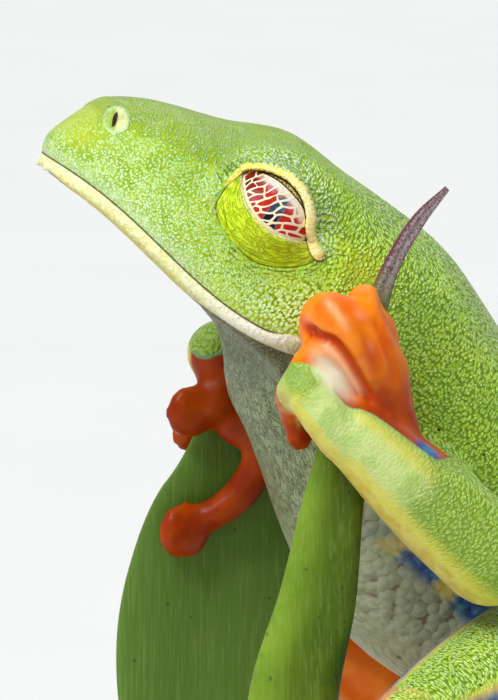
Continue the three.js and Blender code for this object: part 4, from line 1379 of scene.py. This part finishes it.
# %% Skin: relief and shine
grain_height = granule * paint.blend(far_back, 1.0, 2.1) * at["pale"].step(0.0, 0.45, 1.0, 0.20)
grain_height = grain_height * (at["on_body"] * 0.45 + 0.55)
lower_height = paint.blend(is_throat, belly_cell.step(0.76, 0.10) * 1.6, stipple * 0.5 + wrinkle)
height = paint.blend(is_green, lower_height, grain_height)
smooth_skin = (at["orange"] * (1 - is_green)).largest(at["cream"] * 0.8).largest(at["web"].step(0.0, 0.3))
height = paint.blend(smooth_skin, height, paint.noise(mm, 0.5) * 0.8)
height = paint.blend(lip_band, height, lip_grain * 1.6)
height = paint.blend(lid, height, fold_top * 0.7)
height = paint.blend(on_rim, height, ruffle * 1.3)
height = height * (1 - in_ring * 0.7)
jaw_cut = jaw_fold * on_head * (1 - is_green.largest(lip_band)) * 0.6
for cut in (mouth_cut, crease_cut, ray, outer_folds, crack, jaw_cut):
    height = height - cut
paint.bump(height, 0.00011)
rough = paint.blend(is_green, paint.blend(at["orange"], 0.42, 0.34), paint.blend(granule, 0.46, 0.20))
shine = paint.blend(is_green, paint.blend(at["orange"], 0.25, 0.13), paint.blend(far_back, 0.30, 0.38))
glaze = paint.blend(at["orange"], 0.05, 0.04)
paint.set(base_color=colour, roughness=rough, specular_ior_level=shine, coat_weight=glaze,
          coat_roughness=0.14, subsurface_weight=0.05, subsurface_scale=0.0004)
skin.data.materials.append(paint.material)

flesh = [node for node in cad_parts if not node.startswith(("eye_", "perch_", "stand_"))]
finish_piece(skin, flesh)
print("skin stands for", len(flesh), "solids, with", len(paint.tree.nodes), "nodes in its finish")

# %% [markdown]
# ## Eyes
# Each eye is a glossy ball with a red iris and an upright black slit. The clear part of the
# lower lid is drawn up over it, netted with cream lines, so that the red shows in cells. The
# cells are the ground nearest to each of some scattered seeds, pulled wide; the lines run
# half way between two seeds, and keep their thickness whichever way they run.

# %% The net of lines
NET_ACROSS = np.array([0.978, 0.208])
NET_DOWN = np.array([0.208, -0.978])
CELL_WIDE = 1.22
CELL_TALL = 0.47


def net_lines(across, up):
    """Distance to the nearest line of the net, and which cell a point is in."""
    places = np.stack([across, up], axis=1) - SLIT_CENTRE
    x, y = places @ NET_ACROSS, places @ NET_DOWN
    x, y = x + 0.10 * np.sin(3.1 * y + 1.0), y - 0.15 * x * y + 0.06 * np.sin(4.0 * x)
    rng = np.random.default_rng(11)
    seeds = []
    for row in range(-9, 10):
        for column in range(-5, 6):
            jitter = rng.uniform(-0.40, 0.40, 2)
            seeds.append((column + 0.5 * (row % 2) + jitter[0], row + 0.75 * jitter[1]))
    seeds = np.array(seeds)
    here = np.stack([x / CELL_WIDE, y / CELL_TALL], axis=1)
    squared = ((here[:, None] - seeds[None]) ** 2).sum(2)
    order = np.argsort(squared, axis=1)[:, :3]
    nearest = np.take_along_axis(squared, order, axis=1)
    gaps = []
    for k in (1, 2):
        apart = seeds[order[:, k]] - seeds[order[:, 0]]
        slope = 2 * np.hypot(apart[:, 0] / CELL_WIDE, apart[:, 1] / CELL_TALL)
        gaps.append((nearest[:, k] - nearest[:, 0]) / slope)
    return np.minimum(*gaps), order[:, 0]


# %% Eyeballs
PUPIL_UP = np.array([0.60, 0.80])
PUPIL_ACROSS = np.array([0.80, -0.60])
PUPIL_CENTRE = np.array([0.78, 0.20])


def seen_part(points):
    across, up, out = face_plane(points, EYE)
    return (np.hypot(across - 0.8, up - 0.8) < 3.6) & (out > 0)


def eyeball(name, node, mirror):
    centre = EYE * mirror
    made = make_object(name, [ball(centre, (EYE_RADIUS, EYE_RADIUS), (mirror[0], 0, 0), rows=36)])
    for _ in range(2):
        divide(made, seen_part)
        spokes = points_of(made) - centre
        move_points(made, centre + spokes * EYE_RADIUS / np.linalg.norm(spokes, axis=1)[:, None])
    across, up, _ = face_plane(points_of(made), EYE)
    along, _, _, lower = slit_place(across, up)
    net, cell = net_lines(across, up)
    rim_side, _, rim_half = to_line(across, up, UPPER_RIM)
    from_pupil = np.stack([across, up], axis=1) - PUPIL_CENTRE
    high = from_pupil @ PUPIL_UP
    low_end = ramp(-high, 0.2, 0.8)
    wide = from_pupil @ PUPIL_ACROSS - 0.12 * low_end
    store(made, "along", along)
    store(made, "lower", lower)
    store(made, "net", net)
    store(made, "cell", (cell * 0.618) % 1.0)
    store(made, "line_side", to_line(across, up, BLACK_LINE)[0])
    store(made, "rim_inside", rim_side + rim_half)
    store(made, "pupil", np.hypot(high / 1.25, wide / (0.40 + 0.16 * low_end)))
    store(made, "pupil_high", high)
    finish_piece(made, [node])
    return made


eyes = [eyeball("eyeball_left", "eye_left", NEAR), eyeball("eyeball_right", "eye_right", FAR)]


# %% Eye finish
def netted_red_eye():
    paint = Finish("netted_red_eye")
    at = paint.stored("along", "lower", "net", "line_side", "rim_inside", "cell", "pupil", "pupil_high")
    mottle = paint.noise(paint.mm, 2.6, 4)
    red = paint.tones(at["along"], -2.6, -0.4, (0.090, 0.004, 0.003), (0.560, 0.018, 0.006))
    red = paint.mix(at["along"].step(0.6, 1.8), red, (0.620, 0.008, 0.002))
    red = paint.mix(mottle.step(0.35, 0.7) * 0.45, red, (0.170, 0.004, 0.003))
    red = paint.mix(at["cell"] * 0.20, red, (0.620, 0.040, 0.020))
    # Painted sheen: a lilac haze over the cells of the upper middle.
    lilac_sheen = at["line_side"].step(-1.15, -0.55) * at["along"].step(-2.2, -1.0) * at["along"].step(2.0, 1.0)
    red = paint.mix(lilac_sheen * mottle.step(0.3, 0.6, 0.1, 0.8), red, (0.560, 0.300, 0.400))
    # Painted bluish sheen round the pupil and towards its upper end.
    blue_sheen = paint.tones(mottle, 0.4, 0.6, (0.030, 0.055, 0.110), (0.110, 0.150, 0.230))
    black = paint.mix(mottle, (0.003, 0.004, 0.007), (0.010, 0.015, 0.024))
    red = paint.mix(at["pupil"].step(1.40, 1.10), red, blue_sheen)
    slit = paint.tones(at["pupil_high"], -0.1, 0.35, black, blue_sheen)
    red = paint.mix(at["pupil"].step(1.15, 0.98), red, slit)
    # Painted reflection of a soft light: a milky band just inside the black line.
    milky_reflection = at["line_side"].step(-0.66, -0.36) * at["along"].step(-2.4, -1.5) * at["along"].step(2.4, 1.6)
    red = paint.mix(milky_reflection * 0.92, red, paint.mix(mottle, (0.780, 0.640, 0.560), (0.900, 0.860, 0.780)))
    thickness = paint.noise(paint.mm, 1.5) * 0.11 + at["along"].step(-3, 3, 0.006, 0.030)
    net = (at["net"] - thickness).step(0.012, -0.012)
    colour = paint.mix(net, red, paint.mix(mottle, (0.840, 0.730, 0.440), (0.930, 0.880, 0.680)))
    margin = (at["lower"] + mottle * 0.10).step(-0.14, -0.06)
    colour = paint.mix(margin, colour, (0.820, 0.720, 0.450))
    golds = paint.tones(paint.noise(paint.mm, 9.0), 0.40, 0.52, (0.050, 0.030, 0.008), (0.780, 0.640, 0.200))
    golds = paint.mix(at["rim_inside"].step(-0.12, -0.03), golds, (0.010, 0.006, 0.005))
    colour = paint.mix(at["line_side"].step(-0.02, 0.02), colour, golds)
    colour = paint.mix(abs(at["line_side"]).step(0.07, 0.03), colour, (0.010, 0.006, 0.006))
    paint.bump(net.largest(margin), 0.00004)
    paint.set(base_color=colour, roughness=0.35, coat_weight=0.10, coat_roughness=0.05,
              specular_ior_level=0.10)
    return paint.material


eye_material = netted_red_eye()
for eye in eyes:
    eye.data.materials.append(eye_material)
print("eyes:", [eye.name for eye in eyes], len(eyes[0].data.vertices), "points each")

# %% [markdown]
# ## Leaves
# The near leaf is thick and gutter-shaped: a stalk below, a purple-grey point above. The far
# one is a plain blade, widest below the hand. Each is a loft with a channel down its middle.

# %% Leaf lofts
LEAF_FOOT = -67.0
LEAVES = {  # middle, half width and half thickness, going up
    "perch_leaf_left": [
        ((11.8, 19.6, LEAF_FOOT), 2.4, 1.9), ((13.2, 16.2, -57), 2.7, 1.7), ((15.0, 13.6, -45), 3.2, 1.5),
        ((15.5, 13.5, -35.0), 3.15, 1.3), ((15.1, 15.3, -28.1), 2.7, 1.1), ((14.5, 16.4, -22.5), 2.2, 0.9),
        ((14.1, 17.6, -16.9), 1.7, 0.7), ((13.8, 18.5, -13.0), 1.25, 0.6), ((13.5, 19.5, -9.6), 0.9, 0.55),
        ((13.0, 20.9, -6.2), 0.6, 0.5), ((12.4, 23.0, -3.2), 0.5, 0.45), ((12.0, 25.1, -1.2), 0.2, 0.2),
    ],
    "perch_leaf_right": [
        ((-11.8, 19.6, LEAF_FOOT), 2.3, 1.9), ((-13.0, 16.8, -57), 2.8, 1.6), ((-14.2, 14.3, -46), 5.2, 1.0),
        ((-14.0, 14.6, -39), 6.3, 0.7), ((-13.7, 15.6, -32.6), 6.1, 0.6), ((-13.6, 16.4, -27), 4.6, 0.5),
        ((-13.7, 16.3, -23.4), 2.3, 0.45), ((-13.9, 16.4, -20.6), 0.6, 0.4),
    ],
}


def leaf(name, node, near):
    rows = [(*place, wide, thick) for place, wide, thick in LEAVES[node]]
    data = smooth_curve(rows, 8 * len(rows))
    heading = directions(data[:, :3])
    heading[0] = (0, 0, 1)
    angle = np.linspace(0, 2 * np.pi, 40, endpoint=False)
    x, y = np.cos(angle), np.sin(angle)
    channel = 1 - 0.45 * hill(y, 0.45) * (x > 0)
    rings = []
    for centre, ahead, (wide, thick) in zip(data[:, :3], heading, data[:, 3:5]):
        depth = np.array([1.0, 0, 0]) - ahead * ahead[0]
        depth /= np.linalg.norm(depth)
        breadth = np.cross(ahead, depth)
        rings.append(centre + thick * np.outer(x * channel, depth) + wide * np.outer(y, breadth))
    made = make_object(name, [loft(rings)])
    store(made, "height", points_of(made)[:, 2])
    store(made, "near", np.full(len(made.data.vertices), near))
    store(made, "across", np.r_[0, np.tile(y, len(rings)), 0])
    finish_piece(made, [node])
    return made


leaves = [leaf("leaf_near", "perch_leaf_left", 1.0), leaf("leaf_far", "perch_leaf_right", 0.0)]


# %% Leaf finish
def leaf_material():
    paint = Finish("leaf")
    at = paint.stored("height", "across", "near")
    soft = paint.noise(paint.mm, 0.25, 3)
    light = paint.tones(soft, 0.35, 0.65, (0.125, 0.225, 0.010), (0.180, 0.295, 0.018))
    dark = paint.tones(soft, 0.35, 0.65, (0.060, 0.115, 0.002), (0.098, 0.158, 0.004))
    shade = (at["across"] + soft * 0.4 - 0.2).step(-0.40, 0.15)
    green = paint.mix(shade * at["near"], light, dark)
    green = paint.mix(1 - at["near"], green, (0.100, 0.200, 0.024))
    fibre = paint.noise(paint.scaled(5200, 5200, 200), 1.0, 4, 0.6)
    green = paint.mix(fibre.step(0.45, 0.75) * 0.25, green, (0.330, 0.440, 0.110))
    flecks = paint.noise(paint.scaled(4000, 4000, 900), 1.0, 5, 0.75).step(0.56, 0.66)
    flecks = flecks * at["across"].step(-0.1, 0.5) * at["near"]
    green = paint.mix(flecks * 0.85, green, (0.055, 0.035, 0.012))
    dots = paint.spots(paint.shifted(paint.mm, 0.5, 0.9), 0.55).step(0.09, 0.05)
    green = paint.mix(dots * 0.6, green, (0.040, 0.035, 0.015))
    near_edge = abs(at["across"]).step(0.55, 1.0, 0.0, 0.22)
    mottle = paint.noise(paint.mm, 6.5, 3) - near_edge
    purple = paint.tones(mottle, 0.32, 0.56, (0.120, 0.026, 0.045), (0.290, 0.240, 0.240))
    tip = (at["height"] + soft * 4).step(-8.0, -3.0)
    colour = paint.mix(tip * at["near"], green, purple)
    paint.bump(fibre + paint.noise(paint.mm, 5) * 0.3, 0.00004)
    paint.set(base_color=colour, roughness=0.48, specular_ior_level=0.22, subsurface_weight=0.06,
              subsurface_scale=0.0006)
    return paint.material


green_leaf = leaf_material()
for made in leaves:
    made.data.materials.append(green_leaf)
print("leaves:", [made.name for made in leaves])

# %% [markdown]
# ## Stand
# A turned wooden base in two steps, each with a rounded edge, and two brass rods. Each rod gets
# a small collar where it enters the wood and a cup that holds the leaf's cut end.

# %% Turn the base and the rods
def turned(name, middle, radius, bottom, top, rounding):
    """A round piece with rounded edges, in millimetres above the floor."""
    bpy.ops.mesh.primitive_cylinder_add(vertices=96, radius=radius * MM, depth=(top - bottom) * MM,
                                        location=(middle[0], middle[1], (bottom + top) / 2 * MM))
    made = bpy.context.object
    made.name = name
    bpy.ops.object.transform_apply(location=True, rotation=True, scale=True)
    bake_modifier(made, "BEVEL", width=rounding * MM, segments=4, limit_method="ANGLE")
    return made


def joined(pieces, node):
    """Several turned pieces as one, standing for a solid of the frame."""
    use(pieces[0])
    for piece in pieces:
        piece.select_set(True)
    bpy.ops.object.join()
    made = pieces[0]
    use(made)
    bpy.ops.object.shade_smooth_by_angle(angle=np.radians(40))
    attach(made, "root")
    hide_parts(node)
    return made


def round_size(node):
    """The middle of a round solid of the frame, its radius and its top in millimetres."""
    low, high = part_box(node)
    middle = [(low[i] + high[i]) / 2 for i in (0, 1)]
    return middle, (high[0] - low[0]) / 2 / MM, high[2] / MM


middle, base_radius, base_top = round_size("stand_base")
wooden_base = joined([
    turned("stand_base_turned", middle, base_radius, 0, base_top - 1.8, 1.1),
    turned("upper_step", middle, base_radius - 2.6, base_top - 2.6, base_top, 0.9),
], "stand_base")

rods = []
for side in ("left", "right"):
    middle, radius, rod_top = round_size("stand_rod_" + side)
    rods.append(joined([
        turned("stand_rod_brass_" + side, middle, radius, base_top - 1, rod_top, 0.2),
        turned("collar", middle, radius + 1.0, base_top - 0.4, base_top + 1.5, 0.4),
        turned("cup", middle, radius + 1.25, rod_top - 1.2, rod_top + 1.6, 0.35),
    ], "stand_rod_" + side))
print("stand:", wooden_base.name, [rod.name for rod in rods], "base radius", round(base_radius, 1), "mm")


# %% Stand finishes
def stained_wood():
    paint = Finish("stained_wood")
    grain = paint.noise(paint.shifted(paint.scaled(40, 420, 420), 1.2, 0.35), 1.0, 5, 0.6)
    paint.bump(grain, 0.0001, 0.6)
    paint.set(base_color=paint.tones(grain, 0.3, 0.7, (0.030, 0.014, 0.007), (0.110, 0.052, 0.024)),
              roughness=grain.step(0, 1, 0.30, 0.45), coat_weight=0.3, coat_roughness=0.2)
    return paint.material


def brushed_brass():
    paint = Finish("brushed_brass")
    lines = paint.noise(paint.scaled(400, 400, 9000), 1.0, 3)
    paint.bump(lines, 0.00002, 0.5)
    paint.set(base_color=paint.mix(lines, (0.440, 0.270, 0.085), (0.600, 0.400, 0.150)), metallic=1.0,
              roughness=lines.step(0.2, 0.8, 0.22, 0.38))
    return paint.material


wooden_base.data.materials.append(stained_wood())
brass = brushed_brass()
for rod in rods:
    rod.data.materials.append(brass)
print("finishes:", len(bpy.data.materials))

# %% [markdown]
# ## Room, light and camera
# A pale floor that runs far back, a big soft light from the front and above, a small bright one
# for the wet glints, a weak one from behind, and a long lens at the side, a little in front of
# the frog and above it.

# %% Floor
bpy.ops.mesh.primitive_plane_add(size=6, location=(0, 0, -0.0002))
floor = bpy.context.object
floor.name = "floor"
paper = Finish("pale_floor")
paper.set(base_color=paper.mix(paper.noise(paper.place, 30, 3), (0.70, 0.71, 0.70), (0.74, 0.75, 0.74)),
          roughness=0.8)
floor.data.materials.append(paper.material)

# %% Lights
LIGHTS_AIM = Vector((0.006, -0.009, 0.083))
CAMERA_AIM = Vector((0.006265, -0.009106, 0.083229))


def put(obj, place, aim):
    """Sets a lamp or the camera at a place, pointing at another."""
    obj.location = place
    obj.rotation_euler = (aim - obj.location).to_track_quat("-Z", "Y").to_euler()
    bpy.context.collection.objects.link(obj)


def lamp(name, kind, place, power, tint, **settings):
    data = bpy.data.lights.new(name, kind)
    data.energy = power
    data.color = tint
    for key, value in settings.items():
        setattr(data, key, value)
    put(bpy.data.objects.new(name, data), place, LIGHTS_AIM)


lamp("key", "SUN", (0.26, -0.34, 0.84), 2.64, (1.0, 0.985, 0.95), angle=0.6)
lamp("glint", "AREA", (0.26, -0.34, 0.50), 0.75, (0.92, 0.97, 1.0), size=0.07)
lamp("back", "SUN", (-0.5, 0.35, 0.6), 0.35, (1.0, 1.0, 0.98), angle=0.8)

world = bpy.data.worlds.new("studio")
bpy.context.scene.world = world
world.use_nodes = True
world.node_tree.nodes["Background"].inputs["Color"].default_value = (0.88, 0.94, 1.0, 1)
world.node_tree.nodes["Background"].inputs["Strength"].default_value = 0.46
print("lights:", [light.name for light in bpy.data.lights])

# %% Camera
camera_data = bpy.data.cameras.new("camera")
camera_data.lens = 249.6
camera_data.sensor_width = 36
camera_data.clip_start = 0.01
camera_data.clip_end = 20
camera = bpy.data.objects.new("camera", camera_data)
put(camera, (0.318055, -0.092650, 0.151840), CAMERA_AIM)
bpy.context.scene.camera = camera
bpy.context.scene.view_settings.view_transform = "Standard"
